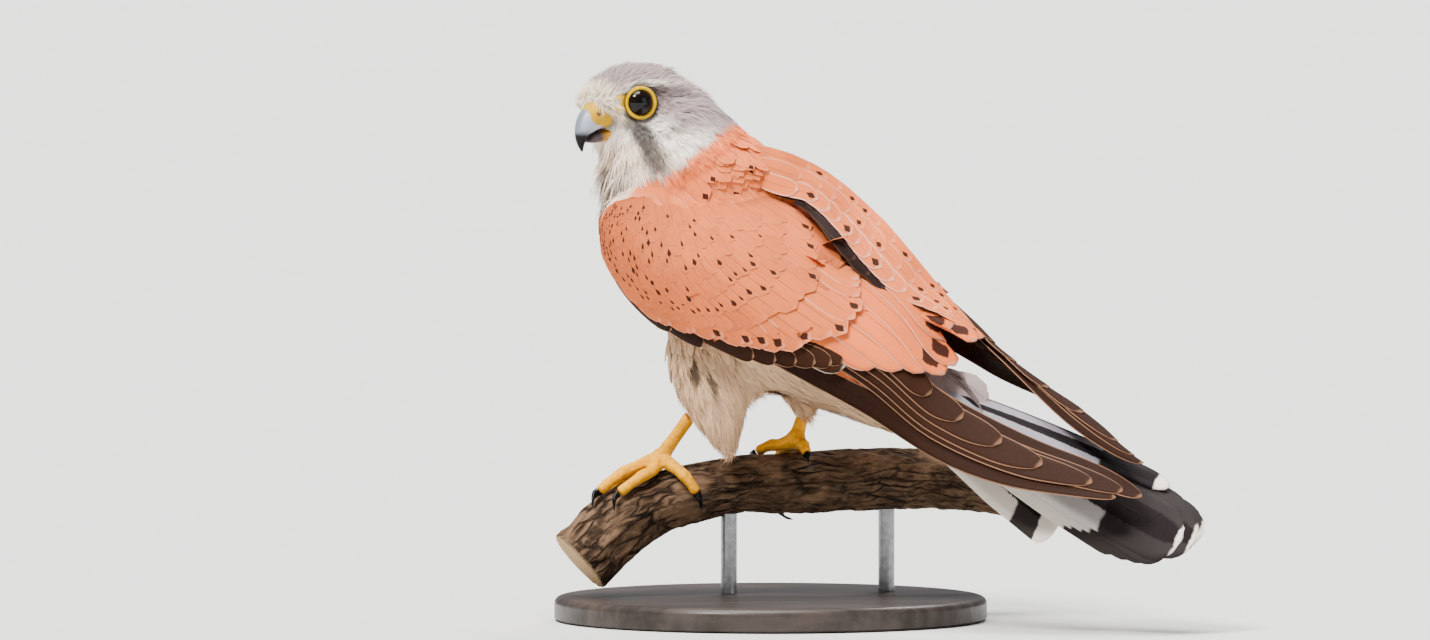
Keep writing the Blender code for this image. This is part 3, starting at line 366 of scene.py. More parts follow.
def melted(obj, voxel, relax):
    """Turn the object into one closed surface of even grain, eased a few times."""
    voxels = obj.modifiers.new("voxels", "REMESH")
    voxels.mode = "VOXEL"
    voxels.voxel_size = voxel
    soft = obj.modifiers.new("soft", "SMOOTH")
    soft.factor = 0.5
    soft.iterations = relax
    plain_mesh(obj)
    obj.data.shade_smooth()
    return obj


def closed_skin(name, nodes, voxel, reach, relax):
    """Skin whose narrow valleys, such as those between wing and back, are filled."""
    obj = melted(copy_of(name, nodes), voxel, 2)
    for sign in (1.0, -1.0):
        mesh = obj.data
        place_vertices(mesh, vertices(mesh) + normals(mesh) * reach * sign)
        melted(obj, voxel, relax)
    return obj


def eased(mesh, co, weight, rounds):
    """Places of the vertices after repeated averaging with their neighbours, by the weight of each."""
    ends = np.empty(len(mesh.edges) * 2, np.int32)
    mesh.edges.foreach_get("vertices", ends)
    one, two = ends.reshape(-1, 2).T
    count = np.maximum(np.bincount(ends, minlength=len(co)), 1)[:, None]
    for _ in range(rounds):
        total = [np.bincount(one, co[two, n], len(co)) + np.bincount(two, co[one, n], len(co))
                 for n in range(3)]
        co = co + weight[:, None] * (np.stack(total, -1) / count - co)
    return co


def solid_tree(meshes):
    """Search tree of the surfaces of some meshes."""
    points, faces = [], []
    for mesh in meshes:
        faces += [[len(points) + i for i in face.vertices] for face in mesh.polygons]
        points += [v.co.copy() for v in mesh.vertices]
    return bvhtree.BVHTree.FromPolygons(points, faces)


def vertices(mesh):
    co = np.empty(len(mesh.vertices) * 3)
    mesh.vertices.foreach_get("co", co)
    return co.reshape(-1, 3)


def normals(mesh):
    co = np.empty(len(mesh.vertices) * 3)
    mesh.vertex_normals.foreach_get("vector", co)
    return co.reshape(-1, 3)


def place_vertices(mesh, co):
    mesh.vertices.foreach_set("co", co.ravel())
    mesh.update()


def put_attribute(mesh, name, kind, values):
    field = {"FLOAT": "value", "FLOAT_VECTOR": "vector", "FLOAT_COLOR": "color", "FLOAT2": "vector"}[kind]
    layer = mesh.attributes.get(name) or mesh.attributes.new(name, kind, "POINT")
    layer.data.foreach_set(field, np.ascontiguousarray(values, dtype=np.float32).ravel())


def set_tone(obj, tone):
    """Give each vertex of a piece its colour."""
    put_attribute(obj.data, "tone", "FLOAT_COLOR", np.hstack((np.clip(tone, 0, 1), np.ones((len(tone), 1)))))


def finish_piece(obj, slot, *nodes):
    """Put a piece on the body in place of the solids it dresses; its slot is not used."""
    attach(obj, BODY)
    if nodes:
        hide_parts(*nodes)


# Plumage zones

# Line where the grey of the head ends: its level (mm), and its slope along and aside
GREY_EDGE = (123.04, -0.578, -0.413)
# Places in the bird's frame (mm) and the direction in which the feathers lie there
LIE_GUIDES = (((44.5, 12.6, 134), (-0.34, -0.94, 0.15)), ((36, 6, 141), (-0.34, -0.94, 0.1)),
              ((30, -3, 142), (-0.4, -0.9, -0.1)), ((24, -10, 134), (-0.4, -0.75, -0.5)),
              ((25, 7, 133), (-0.55, -0.8, -0.2)), ((17, 8, 131), (-0.7, -0.55, -0.45)),
              ((33, 17, 121), (-0.6, -0.35, -0.75)), ((26, 22, 115), (-0.65, 0.0, -0.75)),
              ((43, 15, 113), (-0.25, -0.2, -0.95)), ((36, 20, 107), (-0.3, 0.0, -0.95)),
              ((37, 0, 120), (0.35, -0.55, -0.75)), ((8, 15, 123), (-0.6, -0.1, -0.8)),
              ((0, 0, 122), (-0.66, 0, -0.75)), ((0, 20, 114), (-0.7, 0.1, -0.7)),
              ((0, -16, 115), (-0.7, -0.1, -0.7)), ((35, 20, 100), (-0.1, 0.15, -0.98)),
              ((48, 5, 95), (0.1, 0.0, -0.99)), ((50, 0, 78), (-0.15, 0, -0.98)),
              ((45, 20, 75), (-0.25, 0.1, -0.96)), ((45, -20, 75), (-0.25, -0.1, -0.96)),
              ((33, 0, 50), (-0.5, 0, -0.87)), ((8, 0, 30), (-0.85, 0, -0.5)),
              ((-18, 0, 20), (-0.93, 0, -0.36)), ((-45, 0, 12), (-0.95, 0, -0.3)),
              ((-80, 0, 4), (-0.9, 0, -0.42)), ((15, 26, 50), (-0.5, 0.05, -0.86)),
              ((15, -26, 50), (-0.5, -0.05, -0.86)), ((-30, 0, 98), (-0.8, 0, -0.6)),
              ((-55, 0, 75), (-0.82, 0, -0.57)), ((-80, 0, 55), (-0.86, 0, -0.5)),
              ((-105, 0, 30), (-0.88, 0, -0.47)), ((-40, 25, 50), (-0.88, 0, -0.47)),
              ((-40, -25, 50), (-0.88, 0, -0.47)), ((6, 28, 108), (-0.66, 0.25, -0.7)),
              ((8, 20, 22), (-0.3, 0.05, -0.95)), ((-6, 20, 6), (-0.12, 0, -0.99)),
              ((-14, 24, 30), (-0.55, 0.05, -0.83)), ((-16, -24, 25), (-0.25, 0, -0.97)),
              ((-2, -22, 32), (-0.35, 0, -0.93)))

# Dark drops of the thighs: both ends and half width (mm)
THIGH_DROPS = (((19.4, 19.0, 44.5), (17.2, 19.0, 38.5), 1.3), ((9.2, 26.5, 36.0), (6.6, 27.4, 29.0), 1.4),
               ((-6.2, 28.4, 29.5), (-9.0, 29.2, 20.0), 1.5), ((1.8, 28.0, 38.5), (0.4, 28.4, 31.5), 2.2),
               ((21.5, 15.5, 51.0), (20.2, 16.5, 47.0), 1.2), ((25.0, 10.0, 47.0), (23.0, 10.0, 42.0), 1.2),
               ((13.0, 20.0, 28.0), (12.0, 20.5, 22.5), 1.1),
               ((-12.0, -27.0, 33.0), (-14.5, -27.0, 25.0), 1.4),
               ((2.0, -25.0, 38.0), (0.0, -25.5, 31.0), 1.4),
               ((12.0, -18.0, 42.0), (10.0, -18.0, 36.0), 1.2))
# Dark cleft between the wings and the outline over it, as pairs of places (mm) in the plane of the photo
CLEFT = ((-9.5, 99.2, -6.9, 114.0), (3.5, 94.7, 7.2, 110.0), (12.8, 92.9, 18.3, 105.0),
         (19.0, 88.1, 27.5, 98.5), (25.7, 80.7, 35.3, 91.5), (32.4, 71.8, 42.7, 84.5),
         (40.5, 62.9, 52.7, 72.6), (49.0, 55.9, 60.8, 62.6), (63.1, 50.3, 70.8, 51.0),
         (75.6, 42.2, 78.0, 43.2))


def cleft_lines(count=60):
    """Evenly spaced places along the cleft, the ones over it, and how far along each lies."""
    line = np.array(CLEFT)
    run = np.concatenate(((0,), np.cumsum(np.linalg.norm(np.diff(line[:, :2], axis=0), axis=1))))
    at = np.linspace(0, run[-1], count)
    even = np.stack([np.interp(at, run, line[:, n]) for n in range(4)], -1)
    return even[:, :2], even[:, 2:], at


def beside_cleft(p):
    """How far bird-frame points lie along the cleft, and above it, as the photo shows them."""
    seen = np.stack((p @ SEEN_ACROSS - STAND_SHIFT[0], p @ SEEN_UP), -1)
    low, high, at = cleft_lines()
    nearest = np.linalg.norm(seen[:, None, :] - low[None, :, :], axis=2).argmin(axis=1)
    above = ((seen - low[nearest]) * unit(high - low)[nearest]).sum(axis=1)
    return at[nearest], above, np.linalg.norm(high - low, axis=1)[nearest]


def lie_of(p, out):
    """Direction in which a feather lies at bird-frame points whose outward normals are given."""
    total = np.zeros_like(p)
    for place, way in LIE_GUIDES:
        gap = np.sum((p - np.array(place, float)) ** 2, axis=-1, keepdims=True) + 9.0
        total += np.array(way) / gap ** 2.2
    total = unit(total)
    return unit(total - out * np.sum(total * out, axis=-1, keepdims=True))


def tone_of(p):
    """Plumage colour at bird-frame points, with painted shade in the cleft between the wings and round the
    eyes and a little painted light on the mantle, as rows of red, green and blue.
    """
    tint = palette()
    m = half_head(p)
    f, side, u = m.T
    a, b, z = p.T

    # Trunk: chestnut above, buff below, paler towards the vent
    back = smooth(z - (74 + 0.98 * (a + 8)) + 0.10 * np.abs(b), -6, 3)
    back = np.maximum(back, smooth(-a, 60, 66) * smooth(z - (0.5 * (a + 95) + 16), -3, 3))
    back *= 1 - smooth(a, 24, 32) * smooth(-z, -104, -96)
    front = over(tint["buff"], tint["belly"], smooth(-z, -56, -30))
    # Painted light: the mantle's chestnut a little lighter, as it faces the light from above
    above = over(tint["chestnut"] * 1.03, tint["crown"], smooth(-a, 62, 74))
    tone = over(front, above, back)
    shoulder = smooth(a, 26, 22) * smooth(z, 60, 72) * smooth(np.abs(b), 20, 26)
    tone = over(tone, tint["chestnut"], 0.5 * shoulder)
    for start, end, wide in THIGH_DROPS:
        tone = over(tone, tint["dark"] * 1.3, 0.9 * stroke(p, start, end, wide, 0.7))

    # Neck: the grey and white of the head end at a slanting line
    head = smooth(over_grey(p), -1.2, 1.6)
    nape = smooth(-a, -30, -24)
    neck = over(tint["cheek"] * 0.55 + tint["buff"] * 0.45, tint["chestnut"] * 1.1, nape)
    tone = over(tone, neck, smooth(z, 90, 98))

    # Head: grey cap, pale cheek and throat
    pale = smooth(-(u + 3.2) - 0.10 * f - 0.16 * (side - 14), 0, 6.5)
    pale *= 1 - smooth(-f, 5, 15) * smooth(u, -26, -12)
    pale *= 1 - smooth(side, 36, 46)
    face = over(tint["crown"], tint["cheek"], pale)
    face = over(face, tint["buff"], 0.45 * smooth(f, 3, 7) * smooth(-u, 9, 15))
    brow = np.maximum.reduce((stroke(m, (6.6, 10.6, 6.6), (0.4, 13.0, 7.9), 0.5, 1.8),
                              stroke(m, (0.4, 13.0, 7.9), (-8.7, 14.6, 6.6), 0.5, 1.8),
                              0.6 * stroke(m, (-8.7, 14.6, 6.6), (-13, 20.0, 5.6), 0.4, 2.2)))
    face = over(face, tint["cheek"] * (1.0, 0.95, 0.88), 0.6 * brow)
    mask = np.maximum(stroke(m, (12.5, 0.0, 4.2), (9.6, 7.6, 1.4), 1.0, 4.5),
                      stroke(m, (9.6, 7.6, 1.4), (7.6, 10.8, -4.0), 1.4, 3.4))
    face = over(face, tint["cheek"] * (1.0, 0.93, 0.82), 0.85 * mask)
    stripe = np.maximum.reduce((0.85 * stroke(m, (6.0, 12.4, -5.6), (5.4, 17.0, -8.4), 1.5, 2.6),
                                stroke(m, (5.4, 17.0, -8.4), (8.4, 24.0, -12.6), 2.4, 3.4),
                                0.9 * stroke(m, (8.4, 24.0, -12.6), (11.8, 31.0, -19.5), 2.6, 4.0)))
    behind = np.maximum(stroke(m, (3.6, 13.4, 6.0), (-5.8, 15.6, 5.2), 0.4, 1.2),
                        stroke(m, (-5.8, 15.6, 4.8), (-10.0, 24.0, 2.8), 1.0, 2.2))
    face = over(face, tint["dark"] * 2.4, 0.92 * stripe)
    face = over(face, tint["dark"] * 2.2, 0.8 * behind)
    tone = over(tone, face, head)
    collar = smooth(a, 27, 31) * smooth(z, 92, 96) * smooth(-z, -106, -101)
    comb = 0.5 + 0.5 * np.sin(b * 2.2 + 1.5 * np.sin(z * 0.4))
    tone = over(tone, tint["dark"] * 2.0, 0.35 * collar * smooth(comb, 0.45, 0.8))
    # Painted shade in the dish round each eye, where no feathers grow
    eye = np.min([np.linalg.norm(p - eye_point(side, 2.5)[0], axis=1) for side in (1, -1)], axis=0)
    tone = over(tone, tint["dark"] * 2.5, 0.75 * smooth(-eye, -7.6, -6.9))

    # Painted shadow in the cleft between the wings, over dark feathers that lie in it
    run, above, _ = beside_cleft(p)
    cleft = smooth(run, 15, 20) * smooth(-run, -86, -80)
    cleft = cleft * smooth(above, -6.5, -4.5) * smooth(-above, -1.5, 0.5) * (z > 35)
    tone = over(tone, tint["dark"] * 2.4, 0.85 * cleft)
    return np.clip(tone, 0, 1)


def streak_of(p):
    """How strongly bird-frame points carry dark streaks, from 0 to 1."""
    a, b, z = p.T
    m = half_head(p)
    front = smooth(a, 22, 28) * smooth(z, 112, 96) * smooth(z, 10, 26)
    front = np.maximum(front, smooth(z, 84, 70) * smooth(z, 18, 30) * smooth(a, -30, -5) * 0.9)
    thigh = smooth(np.abs(b), 14, 18) * smooth(z, 45, 38) * smooth(a, 20, 10) * smooth(a, -22, -14) * 0.05
    low = np.where(np.abs(b) > 14, thigh, front) * (z < 60) + front * (z >= 60)
    head = smooth(over_grey(p), -6, 0)
    cheek = stroke(m, (3.0, 22.0, -6.0), (6.0, 32.0, -14.0), 5.0, 5.0)
    face = 0.09 + 0.12 * cheek
    collar = smooth(a, 24, 29) * smooth(-z, -110, -102) * smooth(z, 84, 90) * 0.42
    return np.maximum(np.where(head > 0.5, face, np.where(z > 84, 0.04, low)), collar)


def fullness_of(p):
    """How much more than elsewhere the head's feathers lift, and how much longer they are."""
    m = half_head(p)
    chin = stroke(m, (8.0, 0.0, -12.0), (8.5, 0.0, -18.0), 4.0, 4.0)
    gorge = stroke(m, (8.5, 0.0, -18.0), (9.5, 0.0, -26.0), 4.0, 4.0)
    brow = stroke(m, (10.0, 0.0, 5.0), (2.0, 0.0, 13.0), 6.0, 6.0)
    throat = smooth(p[:, 0], 36, 46) * smooth(p[:, 2], 90, 100) * smooth(-p[:, 2], -114, -106)
    jaw = stroke(m, (8.2, 5.6, -10.6), (6.0, 7.0, -14.0), 1.6, 1.6)
    lead = smooth(0.866 * p[:, 0] + 0.5 * p[:, 1], 34, 41)
    front = lead * smooth(p[:, 2], 88, 94) * smooth(-p[:, 2], -112, -106)
    puff = 1 + 1.6 * chin + 0.4 * gorge + 1.0 * brow + 0.4 * throat + 0.6 * jaw + 1.0 * front
    return puff, 1 + 0.8 * chin + 0.3 * gorge + 0.25 * brow + 0.1 * throat + 0.2 * jaw + 0.45 * front


# Tips of the mantle's dark feathers (mm)
MANTLE_SPOTS = ((3.6, 27.8, 103.8), (10.4, 13.1, 99.6), (2.4, 10, 100.4), (0.1, 17.6, 96.4),
                (-5.5, 5.1, 96.7), (-14.8, 21.3, 91.8), (-26.3, 21.8, 86.2), (-29.4, 27.3, 81.7),
                (-23.4, 11.6, 91.9), (-31.8, 12.9, 86.6), (-41, 8.1, 80.7), (-43.1, 13.2, 74.3),
                (-18.2, 16, 104.6), (-15.3, -23.8, 103.4), (-28.1, -19.5, 96.6))


def spot_of(p, way):
    """Weight of a dark feather tip on the mantle for feathers rooted at bird-frame points."""
    tip = p + way * 8.0
    aside = np.array((-0.5, 0.866, 0.05))
    drawn = np.maximum.reduce([stroke(tip, np.array(x) - aside * 6, np.array(x) + aside * 16, 1.6, 0.3)
                               for x in MANTLE_SPOTS])
    a, b, z = tip.T
    wave = np.sin(a * 0.55 + 1.3 * np.sin(z * 0.31)) * np.sin(z * 0.5 + 1.1 * np.sin(b * 0.37))
    return np.maximum(drawn, (wave > 0.93) * smooth(-b, 6, 9))


# Materials

def feed(tree, socket, value):
    """Link a socket to another one, or set its own value."""
    if isinstance(value, bpy.types.NodeSocket):
        tree.links.new(value, socket)
    elif socket.type == "RGBA" and len(value) == 3:
        socket.default_value = (*value, 1.0)
    else:
        socket.default_value = value


def add_node(tree, kind, links, settings):
    """New node with its settings, and its sockets fed by name or number."""
    node = tree.nodes.new(kind)
    for key, value in settings.items():
        setattr(node, key, value)
    for key, value in (links or {}).items():
        feed(tree, node.inputs[key], value)
    return node


class Maker:
    """Short hand for the nodes of one material."""

    def __init__(self, name, roughness=0.6, **constants):
        self.material = bpy.data.materials.new(name)
        self.material.use_nodes = True
        self.tree = self.material.node_tree
        self.shader = self.tree.nodes["Principled BSDF"]
        self.shader.inputs["Roughness"].default_value = roughness
        self.shader.inputs["Specular IOR Level"].default_value = 0.1
        for key, value in constants.items():
            self.shader.inputs[key.replace("_", " ")].default_value = value

    def node(self, kind, links=None, **settings):
        return add_node(self.tree, kind, links, settings)

    def math(self, operation, one, two=0.0, three=0.0):
        return self.node("ShaderNodeMath", {0: one, 1: two, 2: three}, operation=operation).outputs[0]

    def times(self, one, two):
        return self.math("MULTIPLY", one, two)

    def plus(self, one, two):
        return self.math("ADD", one, two)

    def minus(self, one, two):
        return self.math("SUBTRACT", one, two)

    def ramp(self, value, low, high, out_low=0.0, out_high=1.0):
        """Soft step of a value between two others."""
        links = {"Value": value, "From Min": low, "From Max": high, "To Min": out_low, "To Max": out_high}
        return self.node("ShaderNodeMapRange", links, interpolation_type="SMOOTHSTEP").outputs[0]

    def mix(self, share, one, two):
        return self.node("ShaderNodeMix", {0: share, 6: one, 7: two}, data_type="RGBA").outputs[2]

    def tinted(self, base, share):
        """Colour times a brightness."""
        grey = self.node("ShaderNodeCombineColor", {0: share, 1: share, 2: share}).outputs[0]
        links = {0: 1.0, 6: base, 7: grey}
        return self.node("ShaderNodeMix", links, data_type="RGBA", blend_type="MULTIPLY").outputs[2]

    def attribute(self, name):
        return self.node("ShaderNodeAttribute", attribute_name=name)

    def tone(self, name="tone"):
        """Colour attribute of the piece."""
        return self.attribute(name).outputs["Color"]

    def split(self, vector):
        """Three numbers of a vector."""
        return tuple(self.node("ShaderNodeSeparateXYZ", {0: vector}).outputs)

    def parts(self, name):
        """Three numbers of a vector attribute."""
        return self.split(self.attribute(name).outputs["Vector"])

    def vane(self):
        """Place on the feather: across it, then along it from the root."""
        return self.split(self.node("ShaderNodeUVMap", uv_map="vane").outputs[0])[:2]

    def place(self):
        return self.node("ShaderNodeTexCoord").outputs["Object"]

    def noise(self, scale, detail=3.0, vector=None, roughness=0.5):
        links = {"Vector": vector or self.place(), "Scale": scale, "Detail": detail, "Roughness": roughness}
        return self.node("ShaderNodeTexNoise", links).outputs["Fac"]

    def cells(self, scale, feature="F1", vector=None):
        links = {"Vector": vector or self.place(), "Scale": scale}
        return self.node("ShaderNodeTexVoronoi", links, feature=feature).outputs["Distance"]

    def bump(self, height, strength, distance):
        links = {"Height": height, "Strength": strength, "Distance": distance}
        feed(self.tree, self.shader.inputs["Normal"], self.node("ShaderNodeBump", links).outputs[0])

    def base(self, socket):
        feed(self.tree, self.shader.inputs["Base Color"], socket)
        return self.material


def tuft_material(name, contrast):
    """Loose tufts whose thin blades each have a brightness of their own."""
    m = Maker(name, 0.72)
    across, along = m.vane()
    blade = m.math("FLOOR", m.times(across, 6.0))
    share, chance, _ = m.parts("trait")
    spot = m.node("ShaderNodeCombineXYZ", {0: blade, 1: m.times(chance, 977.0), 2: 0.0})
    own = m.node("ShaderNodeTexWhiteNoise", {0: spot.outputs[0]}, noise_dimensions="3D").outputs[0]
    bright = m.plus(1.0 - 0.5 * contrast, m.times(own, contrast))
    # Painted shade: each blade is darker towards its root, where the coat shades it
    bright = m.times(bright, m.ramp(along, 0.0, 0.6, 0.8, 1.16))
    shade = m.tinted(m.tone(), bright)
    dark = m.times(m.ramp(m.plus(own, share), 1.0, 1.03), m.ramp(share, 0.1, 0.6, 0.55, 0.9))
    shade = m.mix(dark, shade, tuple(np.array(colours().dark) * 2.2))
    m.bump(m.noise(1500.0, 2.0), 0.2, 0.0001)
    return m.base(shade)


def feather_material(name, tail=False, barbs=70.0, edge_at=(0.40, 0.47)):
    """Feather whose colour, dark mark and pale edge come from the piece's own attributes."""
    m = Maker(name, 0.7, Specular_IOR_Level=0.05)
    across, along = m.vane()
    ink, centre, reach = m.parts("mark")
    fringe, chance, width = m.parts("trait")
    off = m.math("ABSOLUTE", m.minus(across, 0.5))

    # Barbs run out and forward from the shaft
    lane = m.minus(along, m.times(off, 0.5))
    wave = m.math("SINE", m.times(lane, barbs * math.tau))
    wobble = m.noise(420.0, 2.0)
    barb = m.times(wave, m.ramp(wobble, 0.3, 0.7))
    bright = m.plus(0.94, m.times(chance, 0.12))
    bright = m.plus(bright, m.times(barb, 0.03))
    bright = m.plus(bright, m.times(m.minus(m.noise(60.0, 3.0), 0.5), 0.25))
    # Darker towards the root: partly the grey down there, partly painted shade from the feathers that lie
    # over it
    bright = m.times(bright, m.ramp(along, 0.0, 0.55, 0.72, 1.0))
    shade = m.tinted(m.tone(), bright)

    # Pale fringe along both edges and the tip
    rim = m.math("MAXIMUM", m.ramp(off, *edge_at), m.ramp(along, 0.52 + edge_at[0], 0.52 + edge_at[1]))
    rim = m.times(rim, m.math("ABSOLUTE", fringe))
    shade = m.mix(rim, shade, m.tone("rim"))

    # Dark spot or streak
    ragged = m.times(m.minus(m.noise(900.0, 2.0), 0.5), 0.35)
    dv = m.math("DIVIDE", m.minus(along, centre), reach)
    narrow = m.times(width, m.ramp(dv, -1.0, 0.7, 0.35, 1.0))
    du = m.math("DIVIDE", m.minus(across, 0.5), narrow)
    gap = m.plus(m.math("ABSOLUTE", dv), m.math("ABSOLUTE", du))
    round_gap = m.math("SQRT", m.plus(m.times(dv, dv), m.times(du, du)))
    gap = m.times(m.plus(gap, round_gap), 0.56)
    blot = m.times(m.ramp(m.plus(gap, ragged), 1.1, 0.9), ink)
    shade = m.mix(blot, shade, tuple(colours().dark))
    if tail:
        ripple = m.times(m.minus(m.noise(260.0, 2.0), 0.5), 0.016)
        where = m.plus(along, ripple)
        band = m.times(m.ramp(where, centre, m.plus(centre, 0.012)), ink)
        shade = m.mix(band, shade, tuple(colours().dark))
        tip = m.ramp(where, reach, m.plus(reach, 0.008))
        shade = m.mix(tip, shade, tuple(colours().tail_white))
    shaft = m.times(m.ramp(off, 0.028, 0.012), m.ramp(along, 0.97, 0.8))
    shade = m.tinted(shade, m.minus(1.0, m.times(shaft, 0.3)))
    height = m.plus(m.times(barb, 0.3), m.times(shaft, 1.5))
    m.bump(height, 0.35, 0.0002)
    return m.base(shade)


def skin_material():
    m = Maker("skin_down", 0.8)
    bright = m.plus(0.62, m.times(m.noise(700.0, 3.0), 0.5))
    m.bump(m.noise(1200.0, 2.0), 0.4, 0.0003)
    return m.base(m.tinted(m.tone(), bright))


# Skin

FLESH = ("head", "neck", "torso", "rump", "thigh_left", "thigh_right")
WING_CORE = ("wing_left_coverts", "wing_right_coverts")


WAX = np.array((0.85, 1.1, 1.0))


def eye_point(side, forward=0.0):
    """Middle of an eye, or a point that far out along its axis, in the bird's frame."""
    axis = unit(on_head(EYE_AXIS[0], side * EYE_AXIS[1], EYE_AXIS[2]) - on_head(0, 0, 0))
    return on_head(0.2, side * EYE_SIDE, 0.0) + axis * forward, axis


def mantle_rim(t):
    """Place q above which the mantle's feathers lie over a wing."""
    return np.interp(t, (0, 0.6, 1.5, 3.0, 3.8, 4.2), (0.50, 0.58, 0.70, 0.82, 0.95, 1.3))


def near_wing(points, reach):
    """Distance of points to the covert part of a wing, no more than reach, and its t and q there."""
    t, q = np.meshgrid(np.linspace(0.15, 5.6, 72), np.linspace(0.0, 1.0, 26))
    t, q = t.ravel(), q.ravel()
    cloud = np.vstack([w.at(t, q) for w in WINGS.values()])
    places = np.tile(np.stack((t, q), -1), (2, 1))
    best = np.full(len(points), reach, float)
    where = np.zeros((len(points), 2))
    for part in np.array_split(np.arange(len(points)), max(len(points) // 1500, 1)):
        gap = np.linalg.norm(points[part][:, None, :] - cloud[None, :, :], axis=2)
        nearest = gap.argmin(axis=1)
        best[part] = np.minimum(gap[np.arange(len(part)), nearest], reach)
        where[part] = places[nearest]
    return best, where[:, 0], where[:, 1]


def bare_of(p):
    """Weight of the bare yellow patch between the eye and the cere."""
    m = half_head(p)
    return np.maximum.reduce((stroke(m, (5.8, 12.8, 2.8), (8.8, 11.3, 3.3), 0.75, 0.5),
                              stroke(m, (6.4, 12.8, -1.4), (10.4, 11.0, -0.7), 0.85, 0.5),
                              stroke(m, (6.2, 13.0, 0.8), (7.2, 12.4, 0.8), 1.3, 0.6)))


class KESTREL_OT_skin(bpy.types.Operator):
    """One skin under the feathers of the head, trunk and legs"""
    bl_idname = "kestrel.skin"
    bl_label = "Skin"

    def execute(self, context):
        size = sizes()
        skin = closed_skin("skin", FLESH + WING_CORE, size.skin_voxel, 6.0 * MM, 3)
        mesh = skin.data
        co = vertices(mesh)
        out = normals(mesh)
        h = head_axes(bird(co))
        face = smooth(-np.linalg.norm(h * (0.8, 1.0, 1.0), axis=1), -27, -17)
        p = bird(co)
        gap, t, q = near_wing(p, 15.0)
        edge = smooth(-gap, -8.0, -5.0) * smooth(q - mantle_rim(t), -0.15, 0.0)
        depth = size.coat_depth * (1 - 0.75 * face) * (1 - 0.85 * edge)
        rump = smooth(-p[:, 0], 44, 60) * smooth(over_tail(p) - 48, -4, 2)
        depth = depth + 5.5 * MM * rump
        depth = depth * (1 - bare_of(p)) - 0.35 * MM * bare_of(p)
        co = co - out * depth[:, None]
        border = smooth(-gap, -14.0, -9.0) * smooth(q - mantle_rim(t), -0.35, -0.15) * smooth(-t, -4.4, -3.6)
        border = border * smooth(t, 0.3, 0.8)
        end = smooth(-p[:, 0], 84, 92) * smooth(over_tail(p) - 30, -4, 2)
        co = eased(mesh, co, 0.85 * np.maximum(border, end), 90)
        tree = solid_tree([frame["nodes"][name].data for name in WING_CORE])
        for i in np.flatnonzero((gap < 5.5) & (q < mantle_rim(t) - 0.12) & (t < 5.2) & (p[:, 0] > -84)):
            near, away, _, _ = tree.find_nearest(Vector(co[i]))
            if (Vector(co[i]) - near).dot(away) > -2.0 * MM:
                co[i] = np.array(near) - np.array(away) * 2.0 * MM
        co = self.sockets(co)
        place_vertices(mesh, co)
        out = normals(mesh)
        p = bird(co)
        way = lie_of(p, unit(bird(co + out * MM) - p))
        tone = tone_of(p)
        # Painted shade: the skin under the wing's coverts is darker chestnut
        under_coverts_shade = smooth(5.5 - gap, 0, 1.5) * smooth(mantle_rim(t) - q, 0.08, 0.14)
        tone = over(tone, np.array(colours().chestnut) * 0.7, under_coverts_shade)
        tone = over(tone, np.array(colours().yellow) * WAX, bare_of(p))
        set_tone(skin, tone)
        put_attribute(mesh, "lie", "FLOAT_VECTOR", world_way(way))
        spot = spot_of(p, way)
        puff, reach = fullness_of(p)
        bristle = world_way(np.tile(on_head(1, 0, -0.25) - on_head(0, 0, 0), (len(p), 1)))
        put_attribute(mesh, "lie_bristle", "FLOAT_VECTOR", bristle)
        rows = {"streak": streak_of(p), "spot": spot, "reach": reach * (1 + 0.25 * edge + 0.4 * rump),
                "puff": puff * (1 - 0.5 * edge) * (1 - 0.7 * rump) + 0.8 * spot}
        rows.update({"zone_" + name: weight for name, weight in coat_zones(p).items()})
        for name, weight in rows.items():
            put_attribute(mesh, name, "FLOAT", weight)
        context.view_layer.objects.active = skin
        bpy.ops.object.select_all(action="DESELECT")
        skin.select_set(True)
        bpy.ops.object.mode_set(mode="EDIT")
        bpy.ops.mesh.select_all(action="SELECT")
        bpy.ops.uv.smart_project(angle_limit=math.radians(70), island_margin=0.004)
        bpy.ops.object.mode_set(mode="OBJECT")
        mesh.uv_layers[0].name = "OFBake"
        mesh.materials.clear()
        mesh.materials.append(skin_material())
        finish_piece(skin, "plumage_buff", *FLESH)
        return {"FINISHED"}

    def sockets(self, co):
        """Dish the skin round both eyes, so that their rings lie free."""
        p = bird(co)
        for side in (1, -1):
            centre, axis = eye_point(side)
            high = (p - centre) @ axis
            off = np.linalg.norm(p - centre - high[:, None] * axis, axis=1)
            most = 1.9 + 4.0 * smooth(off, 6.3, 10.5)
            down = np.where((high > 0) & (off < 10.5), np.maximum(high - most, 0), 0)
            p = p - axis * down[:, None]
        return world(p)


